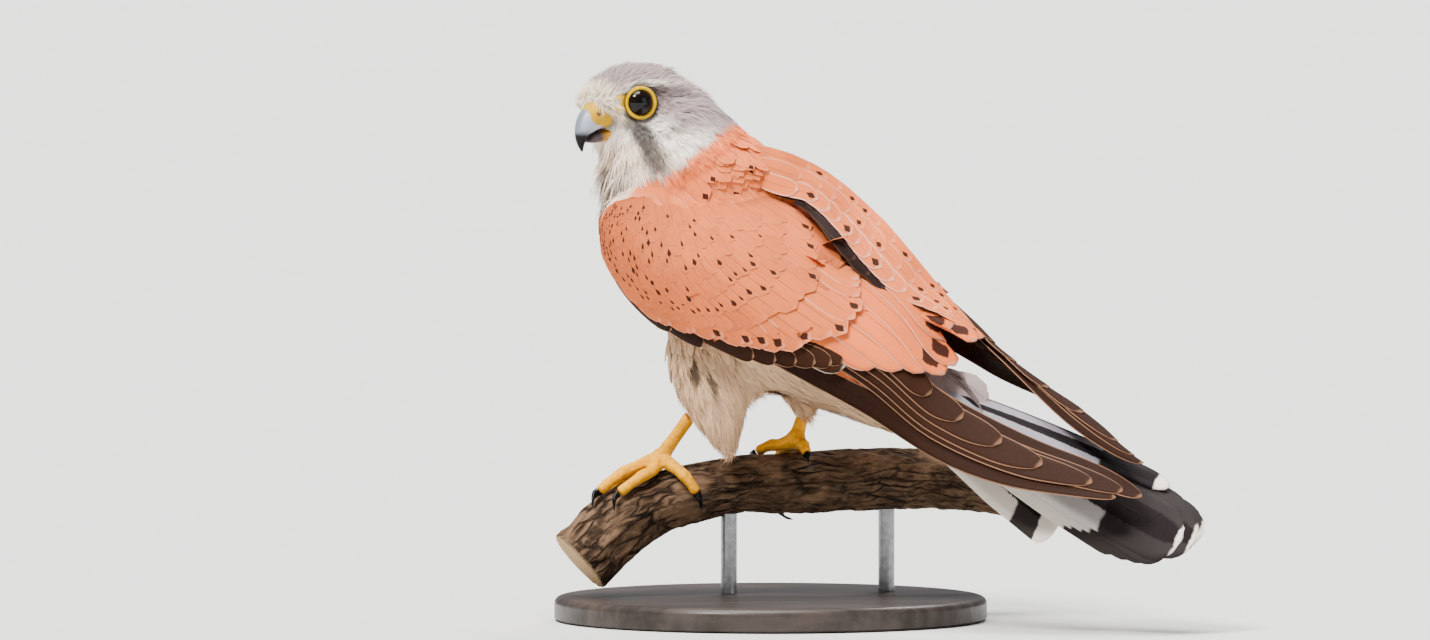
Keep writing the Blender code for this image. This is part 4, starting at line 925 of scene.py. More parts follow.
def coat_zones(p):
    """Share of the feathers of each coat that grows at bird-frame points."""
    m = half_head(p)
    a, b, z = p.T
    eye = head_axes(eye_point(1, 2.4)[0])
    eye = stroke(m, eye, eye + (1.8, 0, 0), EYE_PIT, 0.4)
    bill = (stroke(m, (12.8, 0, -3.4), (20, 0, -10), 5.0, 0.8)
            + stroke(m, (13.0, 0, -9), (18, 0, -11), 3.0, 0.8))
    lore = (stroke(m, (7.4, 12.2, 2.6), (11.0, 9.8, 3.0), 1.2, 0.4)
            + stroke(m, (8.0, 12.0, -1.2), (12.0, 10.2, -0.8), 1.2, 0.4))
    keep = (1 - eye) * (1 - np.clip(bill, 0, 1)) * (1 - np.clip(lore, 0, 1)) * (1 - bare_of(p))
    far = np.linalg.norm(m * (0.9, 1.0, 1.0) + (0, 0, 2), axis=1)
    near = smooth(-far, -23, -18)
    gap, t, q = near_wing(p, 12.0)
    right = smooth(-b, -2, 4) * smooth(t, 2.0, 2.4)
    rim = mantle_rim(t) - 0.08 + 0.5 * right
    wide = 5.0 + 3.0 * smooth(t, 3.2, 4.0)
    covered = smooth(np.where(q < 0.9, 10.5, wide) - gap, 0.0, 1.4) * smooth(rim - q, -0.05, 0.03)
    back_more = smooth(9.0 - gap, 0, 2) * smooth(q - rim, -0.03, 0.05)
    run, above, wide_lobe = beside_cleft(p)
    strip = smooth(run, 14, 20) * smooth(-run, -82, -76)
    strip = strip * smooth(above, -6.0, -4.5) * smooth(wide_lobe - above, 0.5, 2.0)
    open_ = (1 - covered) * (1 - strip * (z > 35))
    slim = np.where(z > 90, np.interp(t, (0.2, 0.8), (0.45, 1.0)), 1.0)
    clear = 1 - smooth(wide * slim - gap, -1.0, 0.4) * (q < 0.97)
    neck = smooth(over_grey(p), -9, -4)
    legs = np.maximum(stroke(p, (-2, 18, 34), (-9, 19, 3), 12.0, 3.0),
                      stroke(p, (-14, -21, 30), (-18, -22, 13), 11.5, 3.0))
    legs = np.maximum(legs * smooth(-z, -44, -36), smooth(-z, -40, -30) * smooth(a, -60, -40))
    back = smooth(z - (70 + 0.98 * (a + 8)), -6, 3)
    back = np.maximum(back, back_more)
    back = np.maximum(back, smooth(-a, 56, 62) * smooth(z - (0.5 * (a + 95) + 12), -3, 3))
    tail = smooth(-a, 62, 66) * smooth(over_tail(p) - 38, -3, 0)
    tail = tail * (1 - smooth(over_tail(p) - 46, 0, 4) * smooth(-a, 86, 90))
    open_ = open_ * (1 - smooth(-a, 56, 60) * (1 - smooth(13 - np.abs(b + 3), 0, 4)))
    rest = (1 - neck) * (1 - legs) * (1 - tail)
    bristles = np.maximum.reduce((stroke(m, (10.2, 5.6, 1.2), (9.4, 7.6, -3.6), 0.9, 0.6),
                                  stroke(m, (9.0, 6.6, -8.5), (8.4, 5.0, -13.0), 1.0, 0.6),
                                  stroke(m, (11.6, 0.0, 3.6), (10.6, 5.0, 2.2), 0.8, 0.6)))
    return {"face": near * keep, "neck": (1 - near) * neck * clear, "mantle": rest * back * open_,
            "breast": rest * (1 - back) * clear, "legs": legs * (1 - neck) * clear, "bristles": bristles}


# Feathers that grow from the skin

def feather_base(name, stations, columns, profile, camber, droop, barbs=0):
    """Feather of unit length along +Y that faces +Z. With barbs it is split into narrow blades."""
    points = []
    faces = []
    coords = []
    if barbs:
        for k in range(barbs):
            side = (k - (barbs - 1) / 2) / ((barbs - 1) / 2)
            long = 1.0 - 0.16 * side * side - 0.09 * ((k * 5) % 3)
            for s in range(stations):
                v = s / (stations - 1)
                x = side * (0.05 + 0.13 * v ** 1.2)
                half = profile * (1.05 - v)
                z = droop * (v - v * v) * 4 - camber * side * side * v + 0.02 * ((k * 7) % 3) * v
                start = len(points)
                points += [(x - half, v * long, z), (x + half, v * long, z)]
                coords += [((k + 0.3) / barbs, v), ((k + 0.7) / barbs, v)]
                if s:
                    faces.append((start - 2, start - 1, start + 1, start))
    else:
        for s in range(stations):
            v = s / (stations - 1)
            for k in range(columns):
                u = k / (columns - 1)
                x = (u - 0.5) * 2
                tip = 1.0 if s < stations - 1 else 1.0 - 0.10 * x * x - 0.02 * ((k * 3) % 2)
                points.append((x * profile(v), v * tip, droop * (v - v * v) * 4 - camber * x * x))
                coords.append((u, v))
        for s in range(stations - 1):
            for k in range(columns - 1):
                i = s * columns + k
                faces.append((i, i + 1, i + 1 + columns, i + columns))
    obj = mesh_object(name, points, faces)
    layer = obj.data.uv_layers.new(name="vane")
    for loop in obj.data.loops:
        layer.data[loop.index].uv = coords[loop.vertex_index]
    obj.hide_render = True
    obj.hide_viewport = False
    return obj


def coat_tree():
    """Geometry nodes that set feathers on a skin along its lie."""
    tree = bpy.data.node_groups.new("coat", "GeometryNodeTree")
    face = tree.interface
    face.new_socket("Skin", in_out="INPUT", socket_type="NodeSocketGeometry")
    sockets = {"Feather": "Object", "Zone": "String", "Way": "String", "Spacing": "Float", "Length": "Float",
               "Lift": "Float", "Jitter": "Float", "Seed": "Int", "Finish": "Material"}
    for label, kind in sockets.items():
        face.new_socket(label, in_out="INPUT", socket_type="NodeSocket" + kind)
    face.new_socket("Coat", in_out="OUTPUT", socket_type="NodeSocketGeometry")
    given = tree.nodes.new("NodeGroupInput").outputs

    def add(kind, links=None, **settings):
        return add_node(tree, kind, links, settings).outputs

    def stored(name, kind="FLOAT"):
        return add("GeometryNodeInputNamedAttribute", {"Name": name}, data_type=kind)["Attribute"]

    def product(one, two, operation="MULTIPLY"):
        return add("ShaderNodeMath", {0: one, 1: two}, operation=operation)[0]

    # Roots, at least the spacing apart
    dense = product(given["Spacing"], -2.0, "POWER")
    links = {"Mesh": given["Skin"], "Distance Min": given["Spacing"], "Density Max": dense,
             "Seed": given["Seed"], "Density Factor": stored(given["Zone"])}
    roots = add("GeometryNodeDistributePointsOnFaces", links, distribute_method="POISSON")
    chance = add("FunctionNodeRandomValue", {"Seed": given["Seed"]}, data_type="FLOAT")
    links = {"Name": "chance", "Geometry": roots["Points"], "Value": chance[1]}
    kept = add("GeometryNodeStoreNamedAttribute", links, data_type="FLOAT", domain="POINT")

    # Upright on the skin, turned along the lie, then lifted and shaken a little
    upright = add("FunctionNodeAlignRotationToVector", {"Vector": roots["Normal"]}, axis="Z")
    links = {"Rotation": upright[0], "Vector": stored(given["Way"], "FLOAT_VECTOR")}
    laid = add("FunctionNodeAlignRotationToVector", links, axis="Y", pivot_axis="Z")
    links = {"Min": (-1.0, -1.0, -1.0), "Max": (1.0, 1.0, 1.0), "Seed": given["Seed"]}
    shake = add("FunctionNodeRandomValue", links, data_type="FLOAT_VECTOR")
    shaken = add("ShaderNodeVectorMath", {0: shake[0], "Scale": given["Jitter"]}, operation="SCALE")
    lifted = add("ShaderNodeCombineXYZ", {"X": product(stored("puff"), given["Lift"])})
    turned = add("ShaderNodeVectorMath", {0: shaken[0], 1: (0.4, 0.6, 1.0), 2: lifted[0]},
                 operation="MULTIPLY_ADD")
    euler = add("FunctionNodeEulerToRotation", {0: turned[0]})
    rotate = add("FunctionNodeRotateRotation", {"Rotation": laid[0], "Rotate By": euler[0]},
                 rotation_space="LOCAL")

    # Feathers of nearly the given length
    varied_share = add("FunctionNodeRandomValue", {2: 0.84, 3: 1.14}, data_type="FLOAT")
    long = product(varied_share[1], product(stored("reach"), given["Length"]))
    feather = add("GeometryNodeObjectInfo", {"Object": given["Feather"]})
    instances = add("GeometryNodeInstanceOnPoints", {"Points": kept["Geometry"], "Rotation": rotate[0],
                                                     "Instance": feather["Geometry"], "Scale": long})
    real = add("GeometryNodeRealizeInstances", {0: instances[0]})
    finish = add("GeometryNodeSetMaterial", {"Geometry": real[0], "Material": given["Finish"]})
    add("NodeGroupOutput", {0: finish[0]})
    return tree


def modified(obj, tree, values):
    """Put a geometry nodes modifier on the object with its inputs set by identifier."""
    mod = obj.modifiers.new(tree.name, "NODES")
    mod.node_group = tree
    for item in tree.interface.items_tree:
        if item.item_type == "SOCKET" and item.in_out == "INPUT" and item.name in values:
            mod[item.identifier] = values[item.name]
    return mod


def float_attribute(mesh, name, size):
    data = mesh.attributes[name].data
    values = np.empty(len(data) * size, np.float32)
    data.foreach_get("value" if size == 1 else ("color" if size == 4 else "vector"), values)
    return values.reshape(-1, size) if size > 1 else values


PATCH = 0.003  # size of a small feather on the OFBake map


def patch_layout(mesh, roots):
    """OFBake map where each feather is a small patch at its root's place on the skin's unwrap."""
    loops = np.empty(len(mesh.loops), np.int32)
    mesh.loops.foreach_get("vertex_index", loops)
    own = np.empty(len(mesh.loops) * 2, np.float32)
    mesh.uv_layers["vane"].data.foreach_get("uv", own)
    layer = mesh.uv_layers.new(name="OFBake")
    place = roots[loops] + (own.reshape(-1, 2) - 0.5) * PATCH
    layer.data.foreach_set("uv", place.ravel().astype(np.float32))
    mesh.uv_layers.active = mesh.uv_layers["vane"]


def grow(zone, feather, spacing, long, lift, jitter, seed, material, tree):
    """Plain mesh of feathers that a zone of the skin carries."""
    coat = bpy.data.objects.new("coat_" + zone, bpy.data.objects["skin"].data.copy())
    bpy.context.scene.collection.objects.link(coat)
    coat.data.materials.clear()
    way = "lie_bristle" if zone == "bristles" else "lie"
    modified(coat, tree, {"Feather": feather, "Zone": "zone_" + zone, "Way": way, "Spacing": spacing,
                          "Length": long, "Lift": lift, "Jitter": jitter, "Seed": seed, "Finish": material})
    plain_mesh(coat)
    mesh = coat.data
    if not len(mesh.polygons):
        raise RuntimeError(f"{coat.name} grew no feathers")
    roots = float_attribute(mesh, "OFBake", 2)
    chance = float_attribute(mesh, "chance", 1)
    streak = float_attribute(mesh, "streak", 1)
    mesh.attributes.remove(mesh.attributes["OFBake"])
    patch_layout(mesh, roots)
    again = (chance * 7.3) % 1.0
    if zone == "mantle":
        ink = (float_attribute(mesh, "spot", 1) > 0.5) * 0.95
        mark = (ink, 0.84 + 0 * ink, 0.15 + 0.03 * chance)
        trait = (0.12 + 0 * chance, chance, 0.30 + 0.08 * ((chance * 3.1) % 1))
    elif zone in ("face", "neck", "legs"):
        mark = (0 * chance, 0.8 + 0 * chance, 0.2 + 0 * chance)
        trait = (streak, chance, 0.2 + 0 * chance)
    else:
        ink = (streak > 0.25 + 0.75 * again) * 0.9
        mark = (ink, 0.72 + 0 * ink, 0.26 + 0.1 * chance)
        trait = (0.15 + 0 * chance, chance, 0.2 + 0.1 * ((chance * 3.1) % 1))
    put_attribute(mesh, "mark", "FLOAT_VECTOR", np.stack(mark, -1))
    put_attribute(mesh, "trait", "FLOAT_VECTOR", np.stack(trait, -1))
    tone = float_attribute(mesh, "tone", 4)
    put_attribute(mesh, "rim", "FLOAT_COLOR", tone * 0.6 + np.array((*colours().cheek, 1.0)) * 0.4)
    spare = ("zone_", "lie", "streak", "chance", "spot", "puff", "reach")
    for name in [x.name for x in mesh.attributes if x.name.startswith(spare)]:
        mesh.attributes.remove(mesh.attributes[name])
    mesh.shade_smooth()
    return coat


def body_profile(v):
    """Half width of a small feather, of length 1, at a place along it."""
    taper = 1 - 0.6 * max(v - 0.72, 0) / 0.28
    return 0.34 * (0.35 + 0.65 * math.sin(min(v * 1.25, 1.0) * math.pi / 2)) * taper


class KESTREL_OT_coat(bpy.types.Operator):
    """Small feathers of the face, neck, trunk and legs, and the bristles by the bill"""
    bl_idname = "kestrel.coat"
    bl_label = "Coat"

    def execute(self, context):
        size = sizes()
        tree = coat_tree()
        finish = feather_material("contour_feather", barbs=24.0)
        downy = tuft_material("head_feather", 0.6)
        hairy = tuft_material("thigh_feather", 0.3)
        tuft = feather_base("tuft", 4, 0, 0.038, 0.06, 0.05, barbs=6)
        vane = feather_base("vane", 6, 5, body_profile, 0.03, 0.03)
        slim = feather_base("slim", 6, 5, lambda v: 0.6 * body_profile(v), 0.03, 0.04)
        hair = feather_base("hair", 4, 0, 0.02, 0.0, 0.10, barbs=2)
        # Zone, feather, spacing, length, lift and shake (radians), slot and finish
        rows = (("face", tuft, size.face_spacing, size.face_length, 0.20, 0.16, "grey", downy),
                ("neck", tuft, size.neck_spacing, size.neck_length, 0.13, 0.12, "grey", downy),
                ("mantle", vane, size.mantle_spacing, size.mantle_length, 0.085, 0.06, "chestnut", finish),
                ("breast", slim, size.breast_spacing, size.breast_length, 0.09, 0.08, "buff", finish),
                ("legs", tuft, size.thigh_spacing, size.thigh_length, 0.12, 0.10, "buff", hairy),
                ("bristles", hair, 1.1 * MM, 5.5 * MM, 0.25, 0.5, "grey", downy))
        for k, (zone, feather, spacing, long, lift, jitter, slot, material) in enumerate(rows):
            coat = grow(zone, feather, spacing, long, lift, jitter, size.seed + k, material, tree)
            finish_piece(coat, "plumage_" + slot)
        for spare in (tuft, vane, slim, hair):
            bpy.data.objects.remove(spare)
        return {"FINISHED"}


# Wing and tail feathers

# Place of the tip (t and q), q of the root, half width (mm) and bluntness of the tip
PRIMARIES = (((5.84, 0.62), 0.50, 6.8, 0.90), ((6.28, 0.60), 0.48, 7.2, 0.90),
             ((6.75, 0.55), 0.44, 7.6, 0.89), ((7.28, 0.46), 0.42, 8.0, 0.87),
             ((7.94, 0.40), 0.38, 8.2, 0.82), ((8.46, 0.50), 0.42, 8.0, 0.76),
             ((8.86, 0.80), 0.45, 7.8, 0.70), ((8.4, 0.12), 0.10, 6.0, 0.76))
SECONDARY_TIPS = ((4.6, 0.3), (4.98, 0.46), (5.32, 0.57), (5.64, 0.71), (5.92, 0.86), (6.02, 1.02),
                  (5.76, 1.1))
ALULA_TIPS = ((2.55, 0.01), (3.0, 0.03))
HAND_TIPS = ((3.6, 0.08), (3.85, 0.12), (4.08, 0.17), (4.28, 0.22), (4.45, 0.27), (4.57, 0.33))
GREATER_EDGE = ((-0.05, 0.0, 0.06, 0.16, 0.24, 0.36, 0.5, 0.6, 0.74, 0.86, 1.0),
                (2.25, 2.4, 2.9, 3.55, 3.95, 4.2, 4.45, 4.58, 4.58, 4.45, 4.2))
# Rows of coverts, as a share of the way out to the edge of the greater coverts
COVERT_ROWS = (1.0,) + tuple(0.87 * 0.895 ** k for k in range(22))
COVERT_SPOTS = ((3.15, 0.1), (3.55, 0.16), (3.8, 0.22), (3.95, 0.28), (4.15, 0.36), (4.45, 0.5),
                (4.55, 0.54), (4.55, 0.74), (4.2, 0.78), (1.75, 0.18), (2.05, 0.2), (2.25, 0.16),
                (2.7, 0.26), (3.15, 0.34), (3.4, 0.46), (2.55, 0.46), (2.05, 0.48), (1.75, 0.44),
                (2.8, 0.48), (2.95, 0.5), (3.2, 0.56), (3.35, 0.46), (3.5, 0.5), (3.65, 0.58), (3.85, 0.88),
                (3.75, 0.94), (4.4, 0.92), (0.75, 0.1), (0.95, 0.12), (1.2, 0.1), (1.5, 0.07))
# Tail feathers from the middle out: length, place aside at 42 % of it and at the tip, depth of the dark band
# and of the white tip (mm), and how white the feather is
TAIL_LEFT = ((138, 4.5, -1, 30, 2.6, 0.4), (136.5, 5, 1.5, 31, 2.0, 0.5), (133, 5.5, 3, 30, 1.2, 0.55),
             (128, 6, 4.5, 29, 2.0, 0.6), (121.5, 7, 6, 25, 3.0, 0.75), (96, 10, 14, 17.5, 7.5, 1.0))
TAIL_RIGHT = ((142, 4.5, -4, 30, 2.2, 0.3), (142.5, 4, -6, 31, 1.6, 0.35), (142.8, 3.5, -8, 32, 2.4, 0.35),
              (140.5, 3, -10.5, 30, 1.6, 0.35), (134, 2.5, -12.5, 28, 2.6, 0.45),
              (123, -1, -18.5, 26, 5.5, 0.12))


class Vanes:
    """Feathers as separate grids of points, gathered into one object."""

    def __init__(self, name):
        self.name = name
        self.points = []
        self.faces = []
        self.rows = {key: [] for key in ("vane", "OFBake", "tone", "rim", "mark", "trait")}
        self.total = 0

    def add(self, grid, bake, tone, rim, mark=(0.0, 0.8, 0.2), trait=(0.5, 0.5, 0.3), flip=False):
        """One feather: grid is stations by columns of bird-frame points, bake its OFBake corner and size."""
        count, columns = grid.shape[:2]
        v, u = np.meshgrid(self.steps(count), np.linspace(0, 1, columns), indexing="ij")
        own = np.stack((u, v), -1).reshape(-1, 2)
        first = self.total
        i, k = np.meshgrid(np.arange(count - 1), np.arange(columns - 1), indexing="ij")
        corner = (first + i * columns + k).ravel()
        quad = np.stack((corner, corner + 1, corner + 1 + columns, corner + columns), -1)
        self.faces.append(quad[:, ::-1] if flip else quad)
        self.points.append(grid.reshape(-1, 3))
        self.rows["vane"].append(own)
        self.rows["OFBake"].append(np.array(bake[:2]) + own * np.array(bake[2:]))
        for key, value in (("tone", (*tone, 1.0)), ("rim", (*rim, 1.0)), ("mark", mark), ("trait", trait)):
            self.rows[key].append(np.tile(np.array(value, float), (len(own), 1)))
        self.total += len(own)

    @staticmethod
    def steps(count):
        """Stations along a feather, closer together near the tip."""
        return 1 - (1 - np.linspace(0, 1, count)) ** 1.35

    def build(self, material, thickness=0.0):
        points = world(np.vstack(self.points))
        faces = np.vstack(self.faces)
        obj = mesh_object(self.name, points.tolist(), faces.tolist())
        mesh = obj.data
        loops = np.empty(len(mesh.loops), np.int32)
        mesh.loops.foreach_get("vertex_index", loops)
        for key in ("vane", "OFBake"):
            layer = mesh.uv_layers.new(name=key)
            layer.data.foreach_set("uv", np.vstack(self.rows[key])[loops].ravel().astype(np.float32))
        for key in ("tone", "rim", "mark", "trait"):
            kind = "FLOAT_COLOR" if key in ("tone", "rim") else "FLOAT_VECTOR"
            put_attribute(mesh, key, kind, np.vstack(self.rows[key]))
        mesh.materials.append(material)
        if thickness:
            thick = obj.modifiers.new("thickness", "SOLIDIFY")
            thick.thickness = thickness
            thick.offset = -1.0
            plain_mesh(obj)
        return obj


def rounded(steps, blunt=0.78, root=0.6, tip=0.06):
    """Half width of a feather along its length, as a share of its widest."""
    body = root + (1 - root) * smooth(steps, 0.0, 0.5)
    end = np.sqrt(np.clip(1 - (np.clip(steps - blunt, 0, 1) / (1 - blunt)) ** 2, 0, 1))
    return body * (tip + (1 - tip) * end)


def wing_grid(wing, root, tip, half, low, high, tilt, camber, count, columns, blunt, room=None):
    """Grid of one wing feather from root to tip (t and q). Low and high are its depths there."""
    steps = Vanes.steps(count)
    t = root[0] + (tip[0] - root[0]) * steps
    q = root[1] + (tip[1] - root[1]) * steps
    _, per_t, per_q, out = wing.frame(t, q)
    slope = np.gradient(q) / np.gradient(t)
    along = unit(per_t + per_q * slope[:, None])
    across = unit(np.cross(along, out))
    across *= np.sign(np.sum(across * per_q, axis=1, keepdims=True))
    tt = np.sum(per_t * per_t, axis=1)
    tq = np.sum(per_t * per_q, axis=1)
    qq = np.sum(per_q * per_q, axis=1)
    det = np.maximum(tt * qq - tq * tq, 1e-6)
    side = np.linspace(-1, 1, columns)
    s = half * rounded(steps, blunt)[:, None] * side[None, :]
    ft = np.sum(across * per_t, axis=1)[:, None] * s
    fq = np.sum(across * per_q, axis=1)[:, None] * s
    dt = (qq[:, None] * ft - tq[:, None] * fq) / det[:, None]
    dq = (tt[:, None] * fq - tq[:, None] * ft) / det[:, None]
    tt2 = t[:, None] + dt
    qq2 = q[:, None] + dq
    lift = low + (high - low) * steps
    if room is not None:
        lift = lift + room(t)
    lift = lift[:, None] - tilt * side[None, :] - camber * side[None, :] ** 2
    flat_t = np.clip(tt2.ravel(), -0.3, 8.95)
    beyond = np.interp(flat_t, (6.2, 7.2, 8.0, 8.95), (0.13, 0.22, 0.55, 2.6))
    flat_q = np.clip(qq2.ravel(), -beyond, 1 + beyond)
    at, _, _, normal = wing.frame(flat_t, flat_q)
    grid = at + normal * lift.ravel()[:, None]
    return grid.reshape(count, columns, 3)


def primary_room(t):
    """Added depth of the primaries (mm), which lie under the secondaries."""
    return np.interp(t, (5.9, 6.5, 7.0, 7.5, 8.94), (-3.4, -2.2, -1.0, 0.0, 0.5))


def varied(tint, rng, spread=0.06):
    """Colour of one feather, a little lighter or darker than the tint."""
    return np.clip(tint * (1 + rng.uniform(-spread, spread)), 0, 1)


class KESTREL_OT_wings(bpy.types.Operator):
    """Coverts, secondaries, primaries and alula of both wings"""
    bl_idname = "kestrel.wings"
    bl_label = "Wings"

    def execute(self, context):
        tint = palette()
        soft = feather_material("covert_feather", barbs=34.0)
        firm = feather_material("flight_feather", barbs=90.0, edge_at=(0.462, 0.480))
        thick = sizes().vane_thickness
        for k, (label, wing) in enumerate(WINGS.items()):
            rng = np.random.default_rng(sizes().seed + 20 + k)
            flip = label == "right"
            self.coverts(label, wing, rng, tint, soft, flip)
            self.secondaries(label, wing, rng, tint, firm, thick, flip)
            self.primaries(label, wing, rng, tint, firm, thick, flip)
            self.hand(label, wing, rng, tint, firm, thick, flip)
        return {"FINISHED"}

    def coverts(self, label, wing, rng, tint, material, flip):
        coat = Vanes(f"coat_wing_{label}")
        left = label == "left"
        tips = []
        for r, share in enumerate(COVERT_ROWS):
            half = (6.2, 5.6, 4.8)[r] if r < 3 else max(4.5 - 0.13 * r, 2.2)
            along_q = np.linspace(0, 0.97, 80)
            line = wing.at(share * np.interp(along_q, *GREATER_EDGE), along_q)
            run = np.concatenate(((0,), np.cumsum(np.linalg.norm(np.diff(line, axis=0), axis=1))))
            number = max(int(run[-1] / (half * (0.95 if r < 2 else 0.8))), 4)
            for j in range(number + 1):
                at = min((j + (0.5 if r % 2 else 0.0) + rng.uniform(-0.15, 0.15)) / number, 1.0)
                q = float(np.interp(at * run[-1], run, along_q))
                stray = rng.uniform(-0.05, 0.05) * (1 if r < 2 else 1.6)
                t = share * float(np.interp(q, *GREATER_EDGE)) + stray
                tips.append((r, t, q, half))
        marked = {}
        if left:
            at = wing.at(np.array([x[1] for x in tips]), np.array([x[2] for x in tips]))
            for spot in COVERT_SPOTS:
                place = wing.at(np.array((spot[0],)), np.array((spot[1],)))
                marked[int(np.linalg.norm(at - place, axis=1).argmin())] = 1.0
        for k, (r, t, q, half) in enumerate(tips):
            if q > mantle_rim(t) + 0.03 and (left or t < 2.2):
                continue
            reach = (34.0, 25.0, 20.0)[r] if r < 3 else max(19.0 - 0.75 * r, 7.5)
            slim = half * (0.62 + 0.38 * float(smooth(q, 0.0, 0.3)))
            here = np.array((max(t, 0.05),)), np.array((q,))
            _, per_t, per_q, _ = wing.frame(*here)
            one = float(np.linalg.norm(per_t))
            skew = float(per_q[0] @ per_t[0]) / one
            tall = math.sqrt(max(float(per_q[0] @ per_q[0]) - skew * skew, 4.0))
            turn = math.radians(5 + 40 * float(smooth(-t, -3.7, -2.2) * smooth(q, 0.02, 0.35)))
            dq = math.sin(turn) * reach / tall
            root = (t - (math.cos(turn) * reach + dq * skew) / max(one, 9.0), min(q + dq, 1.1))
            low, high = (-1.1, 0.3) if r == 0 else (-0.5, 0.3 if r < 4 else 0.15)
            grid = wing_grid(wing, root, (t, q), slim, low, high, 0.08, 0.25, 8, 5, 0.7)
            big = k in marked
            often = 0.42 if 0.3 < t < 3.4 and 0.04 < q < 0.75 else 0.08
            small = not big and r > 1 and rng.uniform() < often
            if not left:
                big = rng.uniform() < (0.5 if r < 2 else 0.12)
            if r == 0 or (big and q > 0.7):
                mark = (0.95 * big, 0.9, 2.6 / reach)
                wide = 0.27 * rng.uniform(0.85, 1.1)
            else:
                mark = (0.95 * (big or small), 0.86, (2.1 if big else rng.uniform(1.4, 2.1)) / reach)
                wide = (1.45 if big else rng.uniform(0.7, 1.05)) / (2 * slim)
            # Painted shade: coverts darker than the mantle, most near the bend of the wing
            shade = float(np.interp(t, (0.3, 1.5, 3.2), (0.62, 0.74, 0.88)))
            tone = varied(tint["chestnut"] * shade, rng, 0.05)
            bake = (max(root[0], 0) / 9.2 * 0.46 + (0.5 if flip else 0.02),
                    0.04 + 0.85 * min(max(root[1], 0), 1.1), PATCH, PATCH)
            trait = (0.3 if r == 0 else 0.08, rng.uniform(), wide)
            coat.add(grid, bake, tone, tone * 0.6 + tint["cheek"] * 0.4, mark, trait, flip)
        if not left:
            self.lobe(coat, rng, tint)
        finish_piece(coat.build(material), "plumage_chestnut", f"wing_{label}_coverts")

    def lobe(self, coat, rng, tint):
        """Scapulars of the far side, whose pale edges stand over the dark cleft between the wings, and a
        strip of dark feathers in the cleft whose colour is partly their own and partly painted shadow.
        """
        names = ("torso", "rump", "wing_left_coverts", "wing_left_secondaries", "wing_right_coverts",
                 "wing_right_secondaries")
        tree = solid_tree([frame["nodes"][name].data for name in names] + [bpy.data.objects["skin"].data])
        view = np.array((0.0, math.cos(VIEW_RISE), -math.sin(VIEW_RISE)))
        low, high, at = cleft_lines(30)
        spots = np.linspace(-0.5, 1.0, 13)
        wide = np.linalg.norm(high - low, axis=1)
        above = np.where(spots < 0, 14.0 * spots, wide[:, None] * spots)
        flat = low[:, None, :] + unit(high - low)[:, None, :] * above[..., None]
        depth = np.full(flat.shape[:2], -STAND_SHIFT[1])
        base = np.stack((flat[..., 0], depth, PERCH_LEVEL + flat[..., 1]), -1) * MM
        far = np.full(base.shape[:2], np.nan)
        for i, j in np.ndindex(far.shape):
            hit = tree.ray_cast(Vector(base[i, j] - view * 0.3), Vector(view))
            if hit[0] is not None:
                far[i, j] = hit[3] - 0.3
        for _ in range(len(at) + len(spots)):
            for axis in (1, 1, 0, 0):
                far = np.flip(far, axis)
                beside = np.roll(far, 1, axis)
                beside[(0, slice(None)) if axis == 0 else (slice(None), 0)] = np.nan
                far = np.where(np.isnan(far), beside, far)
        rows, columns = far.shape
        for gathered in (np.min, np.min, np.mean, np.mean, np.mean, np.mean):
            ring = np.pad(far, 1, mode="edge")
            far = gathered([ring[i:i + rows, j:j + columns] for i in range(3) for j in range(3)], axis=0)
        sheet = base + view * far[..., None]

        def laid(start, tip, centre, spread, rise, blunt=0.75):
            """Grid of a feather along the cleft. Its tip stands over the sheet by the rise (mm)."""
            steps = Vanes.steps(10)
            i = np.clip((start + (tip - start) * steps) / at[-1], 0, 1)[:, None] * (len(at) - 1)
            j = centre + spread * rounded(steps, blunt)[:, None] * np.linspace(-1, 1, 5)
            j = (np.clip(j, -0.5, 1.0) + 0.5) / 1.5 * (len(spots) - 1)
            i = i + 0 * j
            i0, j0 = np.minimum(i.astype(int), len(at) - 2), np.minimum(j.astype(int), len(spots) - 2)
            fi, fj = (i - i0)[..., None], (j - j0)[..., None]
            grid = ((sheet[i0, j0] * (1 - fj) + sheet[i0, j0 + 1] * fj) * (1 - fi)
                    + (sheet[i0 + 1, j0] * (1 - fj) + sheet[i0 + 1, j0 + 1] * fj) * fi)
            base_lift = np.interp(start + (tip - start) * steps, (0, 12, 24), (-7.0, -2.0, 0.6))
            crown = 0.25 * (np.linspace(-1, 1, 5) ** 2)[None, :, None]
            lift = (base_lift + (rise - 0.6) * steps)[:, None, None] - crown
            return bird((grid - view * lift * MM).reshape(-1, 3)).reshape(10, 5, 3)

